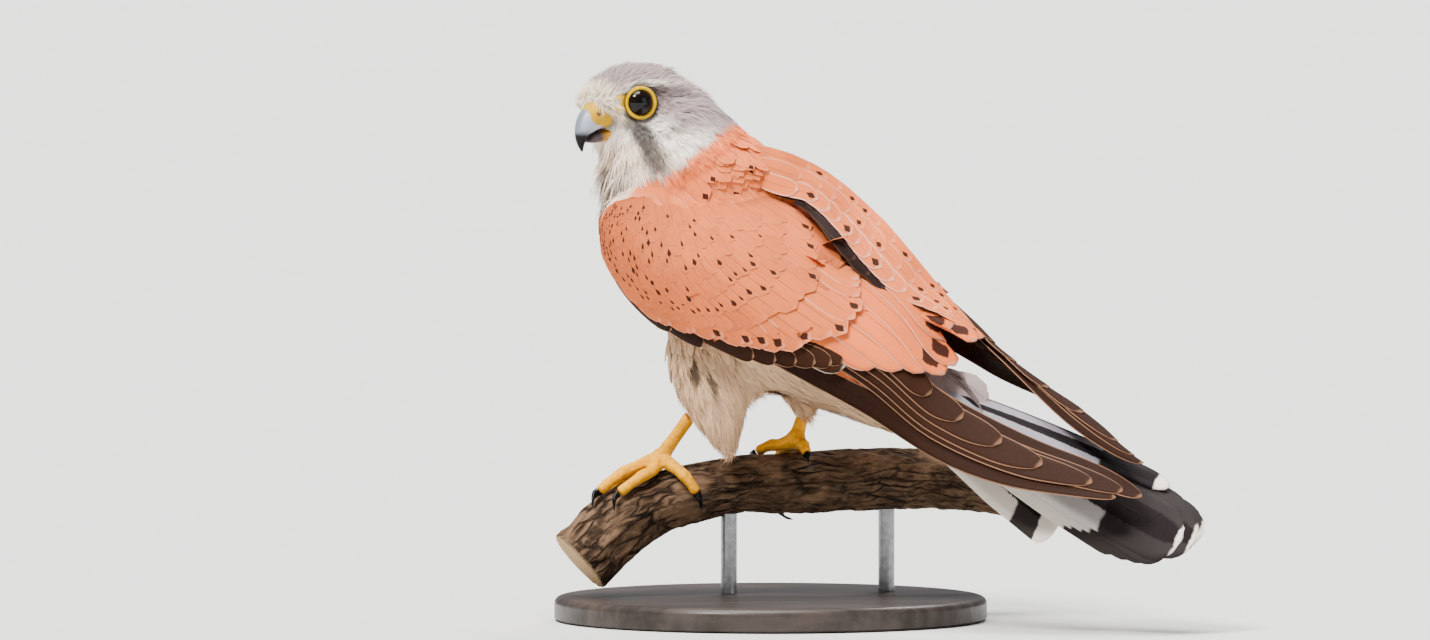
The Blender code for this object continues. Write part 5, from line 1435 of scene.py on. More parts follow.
        # Dark feathers in the cleft, near black: partly their own colour, partly painted shadow under the
        # lobe's edge
        black = tint["dark"] + tint["flight"] * 0.35
        for k, spread in enumerate((0.09, 0.17, 0.21, 0.20, 0.16, 0.12, 0.09, 0.07)):
            grid = laid(12.0 + 8.0 * k, 36.0 + 8.0 * k, 0.06 - spread, spread, 1.3)
            coat.add(grid, (0.9, 0.1 + 0.02 * k, PATCH, PATCH), black, tint["edge"],
                     trait=(0.12, rng.uniform(), 0.3), flip=True)
        rows = ((0.84, 0.20, 1.5, 6.5), (0.52, 0.25, 2.0, 6.5), (0.19, 0.23, 2.6, 6.0))
        for centre, spread, rise, gap in rows:
            for k in range(int((at[-1] - 12) / gap)):
                tip = at[-1] - gap * k - rng.uniform(0, 2.4) * (k > 0)
                grid = laid(max(tip - 24.0, 0.0), tip, centre, spread, rise)
                near = centre < 0.3
                spotted = (k % 3 == 1 and k > 1) if near else rng.uniform() < 0.5
                tone = varied(tint["chestnut"], rng, 0.05)
                mark = (0.95 * spotted, 0.88, 0.09 if near else 0.06)
                trait = (0.5 if near else 0.22, rng.uniform(), 0.3 if near else 0.2)
                coat.add(grid, (0.52 + 0.006 * k, 0.90 + 0.05 * centre, PATCH, PATCH), tone,
                         tone * 0.5 + tint["cheek"] * 0.5, mark, trait, True)

    def cell(self, k, total, flip):
        """Corner and size of a feather's strip on the OFBake map."""
        wide = 0.48 / total
        return ((0.5 if flip else 0.02) + wide * (k + 0.08), 0.03, wide * 0.84, 0.94)

    def secondaries(self, label, wing, rng, tint, material, thick, flip):
        coat = Vanes(f"secondaries_{label}")
        for k, (t, q) in enumerate(SECONDARY_TIPS):
            inner = k >= 1
            tone = varied(tint["chestnut"] * (1.0, 0.94, 0.88) if inner else tint["flight"] * 1.15, rng)
            rim = tint["edge"] * 0.5 + tint["cheek"] * 0.5
            root = (2.3, min(q + (0.06 if inner else 0.02), 1.0))
            low, high = -3.4 + 0.2 * k, -2.4 + 0.36 * k
            grid = wing_grid(wing, root, (t, q), 8.6 if inner else 7.0, low, high, 0.1, 0.25, 22, 7, 0.89)
            mark = (0.95 * (k > 3), 0.925, 0.05)
            trait = (0.4 if inner else 0.7, rng.uniform(), 0.40)
            coat.add(grid, self.cell(k, 7, flip), tone, rim, mark, trait, flip)
        finish_piece(coat.build(material, thick), "flight_secondary", f"wing_{label}_secondaries")

    def primaries(self, label, wing, rng, tint, material, thick, flip):
        coat = Vanes(f"primaries_{label}")
        far = 0.55 if flip else 1.0
        for k, (tip, root_q, half, blunt) in enumerate(PRIMARIES):
            order = 6.5 if k == 7 else k
            tone = varied(tint["flight"] * (1.0 - 0.05 * order), rng, 0.03)
            wide = half * (0.7 if flip else 1.0)
            low, high = -0.2 - 0.3 * order, 0.9 - 0.3 * order
            grid = wing_grid(wing, (2.9, root_q * far), tip, wide, low, high, 0.05, 0.12, 30, 7, blunt,
                             lambda t: primary_room(t) * far)
            coat.add(grid, self.cell(k, 8, flip), tone, tint["edge"],
                     trait=(0.7, rng.uniform(), 0.3), flip=flip)
        finish_piece(coat.build(material, thick), "flight_primary", f"wing_{label}_primaries")

    def hand(self, label, wing, rng, tint, material, thick, flip):
        coat = Vanes(f"alula_{label}")
        total = len(ALULA_TIPS) + len(HAND_TIPS)
        for k, (t, q) in enumerate(ALULA_TIPS):
            root = (0.8 + 0.2 * k, 0.03)
            grid = wing_grid(wing, root, (t, q - 0.03), 4.4, -1.3, -0.5 - 0.3 * k, 0.3, 0.3, 16, 5, 0.8)
            tone = varied(tint["flight"] * 0.6, rng, 0.05)
            coat.add(grid, self.cell(k, total, flip), tone, tint["edge"] * 1.3,
                     trait=(0.85, rng.uniform(), 0.3), flip=flip)
        for k, (t, q) in enumerate(HAND_TIPS):
            tone = varied(tint["flight"] * (1.25 if k > 2 else 0.85), rng, 0.05)
            root = (1.9 + 0.1 * k, 0.02 + 0.02 * k)
            low = -2.0 - 0.25 * k
            grid = wing_grid(wing, root, (t, q), 4.2, low, low + 1.0, 0.0, 0.1, 20, 5, 0.9)
            coat.add(grid, self.cell(k + len(ALULA_TIPS), total, flip), tone, tint["edge"] * 1.2,
                     trait=(0.8, rng.uniform(), 0.3), flip=flip)
        finish_piece(coat.build(material, thick), "alula", f"wing_{label}_alula")


def tail_point(a, b, h=0.0):
    """Points of the tail's upper surface, which rolls over to the left away from the root."""
    a, b = np.broadcast_arrays(np.asarray(a, float), np.asarray(b, float))
    far = smooth(TAIL_ROOT[0] - a, 8, 40)
    tilt = 0.2 + 0.6 * far
    droop = 0.0062 * (1 + far)
    c = TAIL_ROOT[1] + (a - TAIL_ROOT[0]) * TAIL_SLOPE - tilt * b - droop * b * b - 2.0
    up = unit(np.stack((np.full_like(a, -TAIL_SLOPE), tilt + 2 * droop * b, np.ones_like(a)), -1))
    return np.stack((a, b, c), -1) + up * np.asarray(h)[..., None]


class KESTREL_OT_tail(bpy.types.Operator):
    """Twelve tail feathers and the grey coverts over their roots"""
    bl_idname = "kestrel.tail"
    bl_label = "Tail"

    def execute(self, context):
        rng = np.random.default_rng(sizes().seed + 40)
        tint = palette()
        firm = feather_material("tail_feather", tail=True, barbs=110.0)
        coat = Vanes("tail_vanes")
        columns = 9
        steps = Vanes.steps(34)
        widths = np.interp(steps, (0, 0.23, 0.42, 0.7, 0.88, 1.0), (0.45, 0.6, 0.78, 0.97, 1.0, 1.0))
        end = np.clip(steps - 0.925, 0, 1) / 0.075
        widths = widths * (0.05 + 0.95 * np.sqrt(np.clip(1 - end ** 2, 0, 1)))
        for sign, table in ((1, TAIL_LEFT), (-1, TAIL_RIGHT)):
            for k, (reach, middle, end, band, tip, pale) in enumerate(table):
                shown = 0.05 + 0.95 * steps
                a = TAIL_ROOT[0] - reach * shown
                start = sign * (1.5 + 0.6 * k)
                b = np.interp(shown, (0, 0.42, 1.0), (start, middle, end))
                turn = math.atan2(end - middle, 0.6 * reach)
                side = np.linspace(-1, 1, columns)
                outer = k == 5
                far = outer and sign < 0
                s = (5.6 if far else 11.4 - 0.3 * k) * widths[:, None] * side[None, :]
                aa = a[:, None] + s * math.sin(turn)
                bb = b[:, None] + s * math.cos(turn)
                depth = 0.1 if far else -0.25 - 0.38 * k - (0.19 if sign < 0 else 0.0)
                grid = tail_point(aa, bb, depth - 0.35 * side[None, :] ** 2)
                tone = varied(tint["tail_white"] * pale + tint["tail_grey"] * (1 - pale), rng, 0.04)
                cell = (0.02 + (k + (6 if sign < 0 else 0)) / 12 * 0.96, 0.03, 0.068, 0.94)
                edge = tint["dark"] * 3.0 if far else tint["tail_white"]
                mark = (0.97, 1 - band / (reach * 0.95), 1 - tip / (reach * 0.95))
                coat.add(grid, cell, tone, edge, mark, (0.9 if outer else 0.4, rng.uniform(), 0.3), True)
        finish_piece(coat.build(firm, sizes().vane_thickness), "plumage_tail", "tail_feathers")

        soft = feather_material("tail_covert_feather", barbs=30.0)
        small = Vanes("coat_tail")
        for row, reach in enumerate((2.0, 8.0, 14.0, 20.0, 26.0)):
            for j in np.linspace(-1, 1, 7):
                tip = TAIL_ROOT[0] - reach - 4 * (1 - j * j) + rng.uniform(-1, 1)
                line = np.linspace(0, 1, 9)
                a = tip + 20.0 * (1 - Vanes.steps(9))
                wide = 3.6 * rounded(Vanes.steps(9), 0.7)
                spread = (3.0 + 0.12 * reach) * j * (0.6 + 0.4 * line) + 1.0
                side = np.linspace(-1, 1, 5)
                bb = spread[:, None] + wide[:, None] * side[None, :]
                high = 0.35 - 0.1 * row + 0.55 * line[:, None] - 0.3 * side[None, :] ** 2
                tone = varied(tint["crown"] * 0.9, rng, 0.08)
                grid = tail_point(a[:, None], bb, high)
                small.add(grid, (0.4 + 0.02 * j, 0.1 + 0.1 * row, PATCH, PATCH), tone,
                          tone * 0.6 + tint["cheek"] * 0.4, trait=(0.3, rng.uniform(), 0.3), flip=True)
        finish_piece(small.build(soft), "plumage_grey")
        return {"FINISHED"}


# Bill, eyes and feet

def surface_material(name, low, high, scale, roughness=0.5, bump=0.3, depth=0.0002, **constants):
    """Finish with fine two-tone variation and a grain of its own."""
    m = Maker(name, roughness, **constants)
    share = m.ramp(m.noise(scale, 4.0), 0.3, 0.7)
    m.bump(m.noise(scale * 3, 3.0), bump, depth)
    return m.base(m.mix(share, tuple(low), tuple(high)))


def toned_material(name, scale, roughness, bump, depth, cells=0.0, **constants):
    """Finish whose colour is the piece's tone attribute, with fine variation."""
    m = Maker(name, roughness, **constants)
    grain = m.noise(scale, 4.0)
    bright = m.plus(0.86, m.times(grain, 0.28))
    height = grain
    if cells:
        plate = m.cells(cells)
        bright = m.times(bright, m.ramp(plate, 0.0, 0.9, 1.06, 0.8))
        height = m.minus(m.times(grain, 0.25), plate)
    m.bump(height, bump, depth)
    return m.base(m.tinted(m.tone(), bright))


# Forward and up of the upper edge, then of the lower edge, and half width (mm, on the head)
BILL_ROWS = ((9.0, 3.6, 8.0, -8.4, 7.2), (9.4, 3.4, 8.4, -8.4, 7.1), (11.2, 2.6, 10.0, -8.6, 6.5),
             (13.4, 1.0, 12.3, -8.9, 5.5), (16.2, -0.7, 14.8, -9.7, 4.4), (18.6, -2.8, 16.6, -10.7, 3.4),
             (20.5, -6.0, 17.5, -12.0, 2.5), (21.4, -9.4, 18.2, -13.4, 1.7), (21.0, -12.8, 18.7, -14.8, 1.0),
             (19.7, -15.6, 19.0, -16.0, 0.4))
JAW_ROWS = ((8.2, -8.95, 7.6, -13.3, 5.5), (9.0, -8.95, 8.4, -13.3, 5.4), (12.0, -9.25, 11.6, -13.5, 4.5),
            (14.6, -10.2, 14.6, -13.4, 3.3), (16.4, -11.7, 16.5, -12.9, 1.7))
# Height on the head and how far forward the cere reaches there (mm)
CERE_FRONT = ((-9.0, -8.2, -7.3, -6.3, -5.2, -4.2, -1.4, 1.0),
              (8.5, 9.5, 12.5, 14.9, 16.2, 16.7, 16.6, 15.0))


def curve_rows(rows, count):
    """More rows along a smooth line through the given ones."""
    rows = np.array(rows, float)
    x = np.linspace(0, len(rows) - 1 - 1e-6, count)
    i = x.astype(int)
    f = (x - i)[:, None]
    last = len(rows) - 1
    p0, p1, p2, p3 = rows[np.maximum(i - 1, 0)], rows[i], rows[i + 1], rows[np.minimum(i + 2, last)]
    return between(p0, p1, p2, p3, f)


def bands(rows, around, first=0):
    """Faces between rings of points that follow each other."""
    faces = []
    for start in range(first, first + (rows - 1) * around, around):
        for i in range(around):
            k = (i + 1) % around
            faces.append((start + i, start + k, start + around + k, start + around + i))
    return faces


def axes_about(axis):
    """Level and steep directions at right angles to an axis."""
    wide = unit(np.cross(np.array((0.0, 0.0, 1.0)), axis))
    return wide, unit(np.cross(axis, wide))


def bill_shape(rows, count, around=56, power=2.2):
    """Closed horn whose rows give its top and lower edges and half width on the head's axes."""
    turn = np.linspace(0, math.tau, around, endpoint=False)
    cos, sin = np.cos(turn), np.sin(turn)
    wide = np.sign(sin) * np.abs(sin) ** (2 / power)
    tall = np.sign(cos) * np.abs(cos) ** (2 / power)
    points = []
    for f_top, u_top, f_low, u_low, half in curve_rows(rows, count):
        mid = np.array(((f_top + f_low) / 2, 0, (u_top + u_low) / 2))
        up = np.array(((f_top - f_low) / 2, 0, (u_top - u_low) / 2))
        points.append(mid + tall[:, None] * up + wide[:, None] * np.array((0, half, 0)))
    first, last = points[0].mean(axis=0), points[-1].mean(axis=0)
    local = np.vstack(points + [first[None], last[None]])
    faces = bands(count, around)
    total = count * around
    for j in range(around):
        k = (j + 1) % around
        faces.append((total, k, j))
        faces.append((total + 1, (count - 1) * around + j, (count - 1) * around + k))
    return local, faces


class KESTREL_OT_bill(bpy.types.Operator):
    """Cere and both halves of the bill"""
    bl_idname = "kestrel.bill"
    bl_label = "Bill"

    def execute(self, context):
        c = colours()
        yellow, horn, black = (np.array(x) for x in (c.yellow, c.horn, c.black))
        keratin = self.finish()
        halves = (("bill_shell", BILL_ROWS, 90, ("bill_upper", "cere")),
                  ("bill_jaw", JAW_ROWS, 40, ("bill_lower",)))
        for name, rows, count, nodes in halves:
            local, faces = bill_shape(rows, count)
            f, s, u = local[:, 0], np.abs(local[:, 1]), local[:, 2]
            front = np.interp(u, *CERE_FRONT)
            wax = smooth(front - f, -0.25, 0.45)
            hole = np.hypot(f - 13.4, (u + 2.6) * 1.1)
            pit = (1 - smooth(hole, 0.35, 1.05)) * (s > 2)
            if name == "bill_shell":
                swell = 0.28 * wax * (1 - smooth(hole, 1.2, 2.8) * 0.6) - 1.3 * pit
                local = local + np.sign(local[:, 1:2]) * np.array((0, 1, 0)) * swell[:, None]
                ridge = smooth(-s, -2.6, -0.8) * smooth(f, 14, 17)
                dark = np.maximum(smooth(-u + 0.3 * (f - 18), 7.2, 11.0), 0.55 * ridge)
                # Painted shade along the mouth line, under the lower edge of the upper bill
                lip = smooth(-u - 0.25 * (f - 10), 7.2, 8.4) * smooth(f, 8.5, 12)
                tone = over(horn, np.array(linear(74, 52, 60)), 0.75 * lip)
                tone = over(tone, black, dark)
                tone = over(tone, yellow * 0.64 * WAX, wax)
                ring = np.exp(-((hole - 1.2) / 0.35) ** 2) * (s > 2) * 0.35
                tone = over(tone, np.array(linear(190, 110, 10)), ring)
                # Painted shade in the hole of each nostril
                tone = over(tone, black * 0.6, pit)
            else:
                far = smooth(f, 9.5, 13.0)
                tone = over(yellow * 0.62, np.array(linear(78, 66, 68)), far)
                # Painted shade along the top edge of the lower bill, where it tucks under the upper one
                tone = over(tone, black, 0.6 * smooth(u, -10.4, -9.4))
                wax = 1 - far
            points = np.array([on_head(*x) for x in local])
            obj = outward(mesh_object(name, world(points).tolist(), faces))
            set_tone(obj, tone)
            put_attribute(obj.data, "wax", "FLOAT", wax)
            obj.data.materials.append(keratin)
            finish_piece(obj, "bill", *nodes)
        return {"FINISHED"}

    def finish(self):
        """Waxy grain and pores on the cere and a smoother, finely grained horn, from the piece's own
        attributes.
        """
        m = Maker("bill_horn", 0.3, Specular_IOR_Level=0.15)
        wax = m.attribute("wax").outputs["Fac"]
        grain = m.noise(900.0, 4.0)
        pores = m.cells(1700.0)
        bright = m.plus(0.88, m.times(grain, 0.24))
        height = m.minus(m.times(grain, 0.4), m.times(pores, wax))
        m.bump(height, 0.3, 0.00015)
        feed(m.tree, m.shader.inputs["Roughness"], m.ramp(wax, 0.0, 1.0, 0.26, 0.6))
        return m.base(m.tinted(m.tone(), bright))


def turned_ring(name, centre, axis, radius, tube, around=96, section=20, rough=0.0, oval=1.06):
    """Closed ring of a round section, about an axis through its centre."""
    wide, tall = axes_about(axis)
    points = []
    faces = []
    for i in range(around):
        spin = math.tau * i / around
        way = wide * math.cos(spin) * oval + tall * math.sin(spin)
        for j in range(section):
            turn = math.tau * j / section
            wave = 0.5 + 0.5 * math.sin(i * 2.6 + 1.3 * math.sin(j * 1.9))
            size = tube + rough * wave * (0.5 + 0.5 * math.cos(j * 2.3 + i * 0.9))
            out = way * (radius + size * math.cos(turn))
            points.append(centre + out + axis * size * 0.8 * math.sin(turn))
            k = i * section + j
            after = ((i + 1) % around) * section
            faces.append((k, i * section + (j + 1) % section, after + (j + 1) % section, after + j))
    return mesh_object(name, world(np.array(points)).tolist(), faces)


def turned_ball(name, centre, axis, radius, around=64, rings=40):
    """Closed ball whose poles lie on the axis."""
    wide, tall = axes_about(axis)
    points = [centre + axis * radius]
    faces = []
    for j in range(1, rings):
        fall = math.pi * j / rings
        for i in range(around):
            spin = math.tau * i / around
            points.append(centre + axis * radius * math.cos(fall)
                          + (wide * math.cos(spin) + tall * math.sin(spin)) * radius * math.sin(fall))
    points.append(centre - axis * radius)
    last = len(points) - 1
    for i in range(around):
        faces.append((0, 1 + i, 1 + (i + 1) % around))
        base = 1 + (rings - 2) * around
        faces.append((last, base + (i + 1) % around, base + i))
    faces += [(a, d, c, b) for a, b, c, d in bands(rings - 1, around, 1)]
    return mesh_object(name, world(np.array(points)).tolist(), faces)


def outward(obj):
    """Turn the faces of a closed shape outwards."""
    bm = bmesh.new()
    bm.from_mesh(obj.data)
    bmesh.ops.recalc_face_normals(bm, faces=bm.faces)
    bm.to_mesh(obj.data)
    bm.free()
    return obj


class KESTREL_OT_eyes(bpy.types.Operator):
    """Eyes, with their bare yellow rings"""
    bl_idname = "kestrel.eyes"
    bl_label = "Eyes"

    def execute(self, context):
        c = colours()
        iris, black = np.array(c.iris), np.array(c.black)
        glass = toned_material("eye_glass", 500.0, 0.06, 0.0, 0.0, Specular_IOR_Level=0.22)
        ring = toned_material("eye_ring", 1500.0, 0.45, 0.4, 0.0002, cells=1900.0)
        for side, label in ((1, "left"), (-1, "right")):
            centre, _ = eye_point(side)
            middle, axis = eye_point(side, 2.6)
            ball = outward(turned_ball(f"eyeball_{label}", centre, axis, EYE_R))
            p = bird(vertices(ball.data)) - centre
            off = np.linalg.norm(p - axis * (p @ axis)[:, None], axis=1)
            set_tone(ball, over(black * 0.4, iris * 0.45, smooth(off, 2.3, 2.9)))
            ball.data.materials.append(glass)
            finish_piece(ball, "eye", f"eye_{label}")
            lid = outward(turned_ring(f"lid_{label}", middle, axis, 5.5, 0.74, rough=0.12))
            p = bird(vertices(lid.data)) - middle
            off = np.linalg.norm(p - axis * (p @ axis)[:, None], axis=1)
            # Painted shade at both edges of the ring, where it meets the eye and the skin
            inner = np.maximum(smooth(-off, -5.0, -4.8), smooth(off, 6.1, 6.3))
            set_tone(lid, over(np.array(c.yellow) * WAX, black, 0.8 * inner))
            lid.data.materials.append(ring)
            finish_piece(lid, "cere")
        return {"FINISHED"}


class KESTREL_OT_feet(bpy.types.Operator):
    """Scaled yellow feet and black claws"""
    bl_idname = "kestrel.feet"
    bl_label = "Feet"

    def execute(self, context):
        c = colours()
        yellow = np.array(c.yellow)
        scales = toned_material("foot_scales", 500.0, 0.42, 0.7, 0.0005, cells=560.0)
        black = np.array(c.black)
        shine = surface_material("claw_horn", black * 0.6, black * 1.6, 300.0, 0.22, 0.2)
        for label in ("left", "right"):
            foot = melted(copy_of(f"scaled_foot_{label}", (f"foot_{label}",)), 0.5 * MM, 4)
            # Painted shade: the feet are darker where they face down
            low = smooth(normals(foot.data)[:, 2], 0.2, -0.6)[:, None]
            set_tone(foot, yellow * (1 - 0.35 * low) * np.array((1, 0.96, 0.9)))
            foot.data.materials.append(scales)
            finish_piece(foot, "foot", f"foot_{label}")
            for k in range(1, 5):
                node = f"claw_{label}_{k}"
                claw = copy_of(f"sharp_{node}", (node,))
                fine = claw.modifiers.new("fine", "SUBSURF")
                fine.levels = fine.render_levels = 2
                plain_mesh(claw)
                claw.data.shade_smooth()
                claw.data.materials.append(shine)
                finish_piece(claw, "claw", node)
        return {"FINISHED"}


# Perch and stand

# Middle line of the branch in the shared frame and its radius (mm)
BRANCH = ((-56.0, -15.1, 21.8, 13.6), (-51.1, -13.8, 26.2, 13.5), (-42.6, -11.5, 33.5, 13.6),
          (-31.5, -8.5, 41.1, 12.5), (-11.1, -3.0, 47.1, 11.3), (3.7, 1.0, 49.8, 11.1),
          (25.9, 7.0, 50.0, 11.6), (51.8, 14.0, 51.1, 11.6), (77.7, 21.0, 50.3, 11.1),
          (103.6, 28.0, 47.3, 11.5))


def branch_axes(p):
    """Run along the branch, distance from its core and turn about it, for shared-frame millimetres."""
    core = np.array([(x - STAND_SHIFT[0], y - STAND_SHIFT[1], z) for x, y, z, _ in BRANCH])
    best = np.full(len(p), 1e9)
    run = np.zeros(len(p))
    foot = np.zeros_like(p)
    start = 0.0
    for one, two in zip(core[:-1], core[1:]):
        way = two - one
        span = np.linalg.norm(way)
        share = np.clip(((p - one) @ way) / span ** 2, 0, 1)
        at = one + share[:, None] * way
        gap = np.linalg.norm(p - at, axis=1)
        nearer = gap < best
        best = np.where(nearer, gap, best)
        run = np.where(nearer, start + share * span, run)
        foot = np.where(nearer[:, None], at, foot)
        start += span
    d = p - foot
    return run, best, np.arctan2(d[:, 2], d @ np.array((-0.26, 0.966, 0.0))), core


class KESTREL_OT_perch(bpy.types.Operator):
    """Cut branch with its bark"""
    bl_idname = "kestrel.perch"
    bl_label = "Perch"

    def execute(self, context):
        c = colours()
        perch = melted(copy_of("bark_branch", ("perch_branch",)), 0.9 * MM, 2)
        mesh = perch.data
        co = vertices(mesh)
        out = normals(mesh)
        p = co / MM
        run, gap, turn, core = branch_axes(p)
        first = unit(core[1] - core[0])
        last = unit(core[-1] - core[-2])
        cut = np.maximum(smooth(-(out @ first), 0.8, 0.93) * (run < 3),
                         smooth(out @ last, 0.8, 0.93) * (run > run.max() - 3))
        wave = np.array([noise.noise(Vector((r / 16, t * 3.2, g / 9)))
                         + 0.6 * noise.noise(Vector((r / 5, t * 8.0, 3.0)))
                         for r, g, t in zip(run, gap, turn)])
        grip = np.vstack([vertices(frame["nodes"][f"foot_{side}"].data) for side in WINGS]) / MM
        clear = np.full(len(p), 12.0)
        for part in np.array_split(np.arange(len(p)), 40):
            clear[part] = np.minimum(np.linalg.norm(p[part][:, None] - grip[None], axis=2).min(axis=1), 12.0)
        deep = 0.35 + 1.0 * smooth(clear, 3.0, 9.0)
        dent = np.clip(0.45 - wave, 0, 1.3) * deep * (1 - cut)
        place_vertices(mesh, co - out * dent[:, None] * MM)
        put_attribute(mesh, "bark", "FLOAT_VECTOR", np.stack((run / 100, turn / math.tau, gap / 12), -1))
        put_attribute(mesh, "cut", "FLOAT", cut)
        perch.data.materials.append(self.finish(c))
        finish_piece(perch, "bark", "perch_branch")
        return {"FINISHED"}

    def finish(self, c):
        """Cracked bark with lichen, and rings of wood where the branch is cut."""
        m = Maker("branch_bark", 0.86)
        run, turn, gap = m.parts("bark")
        drift = m.times(m.noise(55.0, 3.0), 0.9)
        aside = m.times(drift, 1.7)
        stretched = m.node("ShaderNodeCombineXYZ", {0: m.math("MULTIPLY_ADD", run, 4.5, drift),
                                                    1: m.math("MULTIPLY_ADD", turn, 13.0, aside), 2: gap})
        plates = m.cells(1.5, "DISTANCE_TO_EDGE", stretched.outputs[0])
        crack = m.times(m.ramp(plates, 0.12, 0.0), m.ramp(m.noise(45.0, 3.0), 0.38, 0.6))
        fibre = m.noise(3.2, 8.0, stretched.outputs[0], 0.7)
        patch = m.noise(60.0, 5.0)
        lichen = m.ramp(m.noise(150.0, 5.0), 0.6, 0.7)
        bark = m.mix(m.ramp(fibre, 0.34, 0.66), tuple(c.bark_deep), tuple(c.bark))
        bark = m.mix(m.times(m.ramp(patch, 0.5, 0.62), 0.45), bark, tuple(np.array(c.bark) * 1.8))
        bark = m.mix(m.times(lichen, 0.22), bark, linear(150, 138, 116))
        bark = m.mix(m.times(crack, 0.9), bark, tuple(np.array(c.bark_deep) * 0.6))
        ring = m.math("SINE", m.times(m.plus(gap, m.times(m.noise(150.0), 0.12)), 60.0))
        wood = m.mix(m.ramp(ring, -0.6, 0.9), tuple(c.wood), tuple(np.array(c.wood) * 0.62))
        cut = m.attribute("cut").outputs["Fac"]
        height = m.minus(m.times(fibre, 1.3), crack)
        m.bump(m.times(height, m.minus(1.0, cut)), 1.0, 0.0012)
        return m.base(m.mix(cut, bark, wood))


class KESTREL_OT_stand(bpy.types.Operator):
    """Base and rods of the display stand"""
    bl_idname = "kestrel.stand"
    bl_label = "Stand"

    def execute(self, context):
        c = colours()
        m = Maker("base_wood", 0.42, Coat_Weight=0.25, Coat_Roughness=0.25)
        grain = m.node("ShaderNodeMapping", {0: m.place()})
        grain.inputs["Scale"].default_value = (12.0, 120.0, 60.0)
        lines = m.noise(1.6, 6.0, grain.outputs[0], 0.6)
        m.bump(lines, 0.25, 0.0002)
        base, metal = np.array(c.base), np.array(c.metal)
        dark = m.base(m.mix(m.ramp(lines, 0.3, 0.7), tuple(base * 0.6), tuple(base * 1.5)))
        steel = surface_material("rod_metal", metal * 0.7, metal, 400.0, 0.32, 0.1, Metallic=1.0)
        profile = [(0.0, 0.0), (0.97, 0.0), (0.985, 0.02), (1.0, 0.12), (1.0, 0.7)]
        profile += [(1.0 - 0.035 * (1 - math.cos(x)), 0.7 + 0.3 * math.sin(x))
                    for x in np.linspace(0.15, math.pi / 2, 8)]
        profile += [(0.93, 1.0), (0.0, 1.0)]
        self.fitted("turned_base", "stand_base", profile, 160, dark)
        rod = [(0.0, 0.0), (1.0, 0.0), (1.0, 0.5), (1.0, 1.0), (0.0, 1.0)]
        for node in ("stand_rod_1", "stand_rod_2"):
            self.fitted("turned_" + node, node, rod, 48, steel)
        return {"FINISHED"}

    def fitted(self, name, node, profile, count, material):
        """Turned piece that fills the box of a solid."""
        lo, hi = (np.array(v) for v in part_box(node))
        piece = self.lathe(name, profile, count)
        middle = ((lo[0] + hi[0]) / 2, (lo[1] + hi[1]) / 2, lo[2])
        wide = (hi - lo) / (2, 2, 1)
        place_vertices(piece.data, vertices(piece.data) * wide + middle)
        piece.data.materials.append(material)
        finish_piece(piece, "stand", node)

    def lathe(self, name, profile, count):
        """Closed shape turned about the upright axis, from rows of radius and height."""
        points = [(0, 0, profile[0][1])]
        for r, z in profile[1:-1]:
            turns = [math.tau * i / count for i in range(count)]
            points += [(r * math.cos(turn), r * math.sin(turn), z) for turn in turns]
        points.append((0, 0, profile[-1][1]))
        rows = len(profile) - 2
        faces = [(0, 1 + (i + 1) % count, 1 + i) for i in range(count)]
        faces += bands(rows, count, 1)
        top = 1 + (rows - 1) * count
        faces += [(len(points) - 1, top + i, top + (i + 1) % count) for i in range(count)]
        return outward(mesh_object(name, points, faces, False))


# Stage, panel and order of making

FLOOR_REACH = 24.0
# Lights: where each shines from (m), its strength and how far it spreads (degrees)
SUNS = (("key", (-0.9, -1.0, 1.9), 5.0, 17.0), ("fill", (1.5, -1.1, 0.7), 0.57, 40.0),
        ("rim", (0.5, 1.2, 1.6), 2.1, 24.0), ("top", (-0.2, -0.1, 2.0), 5.5, 35.0))
SUNS_AIM = (-0.02, 0.01, 0.11)
SKY = (0.82, 0.85, 0.9, 1)
SKY_STRENGTH = 0.32


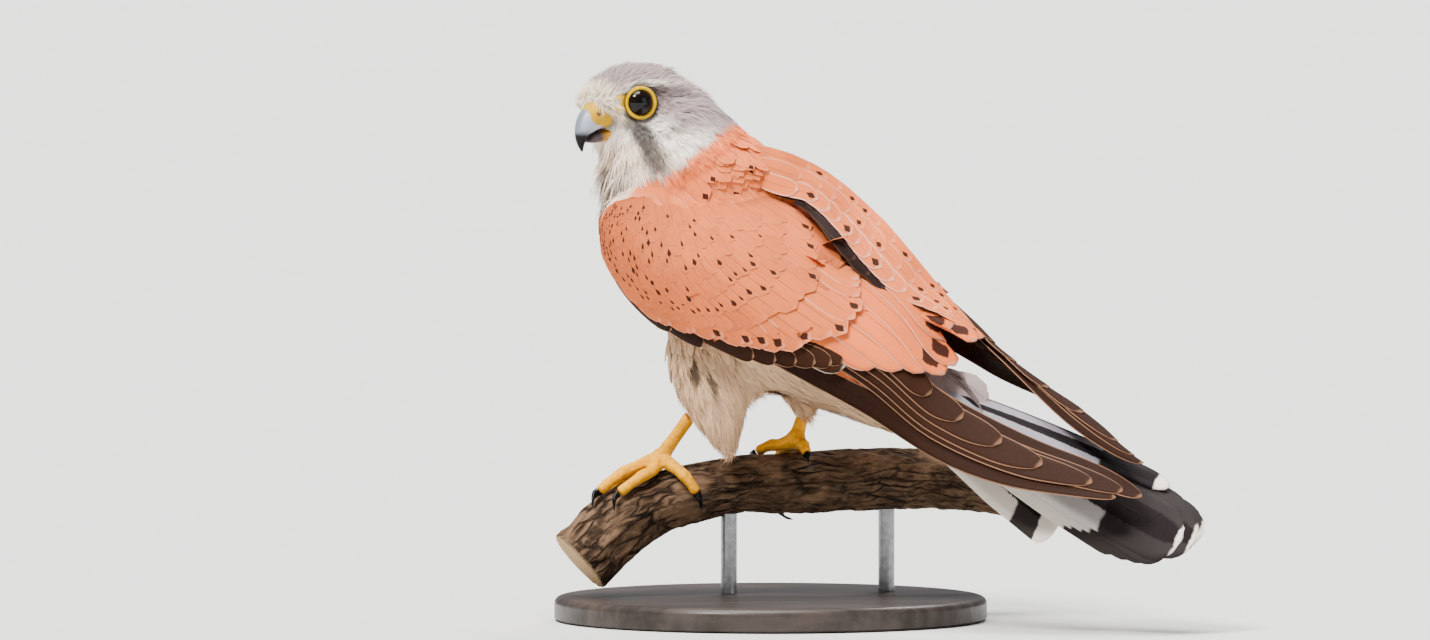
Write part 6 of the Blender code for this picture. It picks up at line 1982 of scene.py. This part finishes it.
class KESTREL_OT_stage(bpy.types.Operator):
    """Floor, light and camera"""
    bl_idname = "kestrel.stage"
    bl_label = "Stage"

    def execute(self, context):
        scene = context.scene
        reach = FLOOR_REACH
        corners = ((-reach, -reach, 0.0), (reach, -reach, 0.0), (reach, reach, 0.0), (-reach, reach, 0.0))
        floor = mesh_object("floor", corners, [(0, 1, 2, 3)])
        card = np.array(colours().floor)
        floor.data.materials.append(surface_material("floor_card", card * 0.98, card, 3.0, 0.85, 0.0))
        for name, place, strength, spread in SUNS:
            light = bpy.data.lights.new(name, "SUN")
            light.energy = strength
            light.angle = math.radians(spread)
            lamp = bpy.data.objects.new(name, light)
            scene.collection.objects.link(lamp)
            lamp.location = place
            lamp.rotation_euler = (Vector(SUNS_AIM) - lamp.location).to_track_quat("-Z", "Y").to_euler()
        scene.world = bpy.data.worlds.new("studio")
        scene.world.use_nodes = True
        sky = scene.world.node_tree.nodes["Background"]
        sky.inputs[0].default_value = SKY
        sky.inputs[1].default_value = SKY_STRENGTH
        camera = bpy.data.objects.new("camera", bpy.data.cameras.new("camera"))
        scene.collection.objects.link(camera)
        camera.data.lens = LENS
        camera.data.sensor_width = 36
        camera.data.clip_end = 100
        back = Vector((0, -math.cos(VIEW_RISE), math.sin(VIEW_RISE)))
        camera.location = Vector(VIEW_TARGET) + back * VIEW_DISTANCE
        camera.rotation_euler = (math.radians(90) - VIEW_RISE, 0, 0)
        scene.camera = camera
        return {"FINISHED"}


class KESTREL_PT_panel(bpy.types.Panel):
    """Buttons and settings of the kestrel"""
    bl_idname = "KESTREL_PT_panel"
    bl_label = "Common kestrel"
    bl_space_type = "VIEW_3D"
    bl_region_type = "UI"
    bl_category = "Kestrel"

    def draw(self, context):
        for group in (context.scene.kestrel_sizes, context.scene.kestrel_colours):
            box = self.layout.box()
            for name in group.bl_rna.properties.keys():
                if name not in ("rna_type", "name"):
                    box.prop(group, name)
        column = self.layout.column(align=True)
        for step in STEPS:
            column.operator(step.bl_idname)


STEPS = (KESTREL_OT_stage, KESTREL_OT_skin, KESTREL_OT_coat, KESTREL_OT_wings, KESTREL_OT_tail,
         KESTREL_OT_bill, KESTREL_OT_eyes, KESTREL_OT_feet, KESTREL_OT_perch, KESTREL_OT_stand)
CLASSES = (KestrelSizes, KestrelColours, *STEPS, KESTREL_PT_panel)


def register():
    for cls in CLASSES:
        bpy.utils.register_class(cls)
    bpy.types.Scene.kestrel_sizes = PointerProperty(type=KestrelSizes)
    bpy.types.Scene.kestrel_colours = PointerProperty(type=KestrelColours)


def unregister():
    del bpy.types.Scene.kestrel_sizes
    del bpy.types.Scene.kestrel_colours
    for cls in reversed(CLASSES):
        bpy.utils.unregister_class(cls)


def main():
    register()
    bpy.ops.kestrel.stage()
    bpy.ops.kestrel.skin()
    bpy.ops.kestrel.coat()
    bpy.ops.kestrel.wings()
    bpy.ops.kestrel.tail()
    bpy.ops.kestrel.bill()
    bpy.ops.kestrel.eyes()
    bpy.ops.kestrel.feet()
    bpy.ops.kestrel.perch()
    bpy.ops.kestrel.stand()


if __name__ == "__main__":
    main()
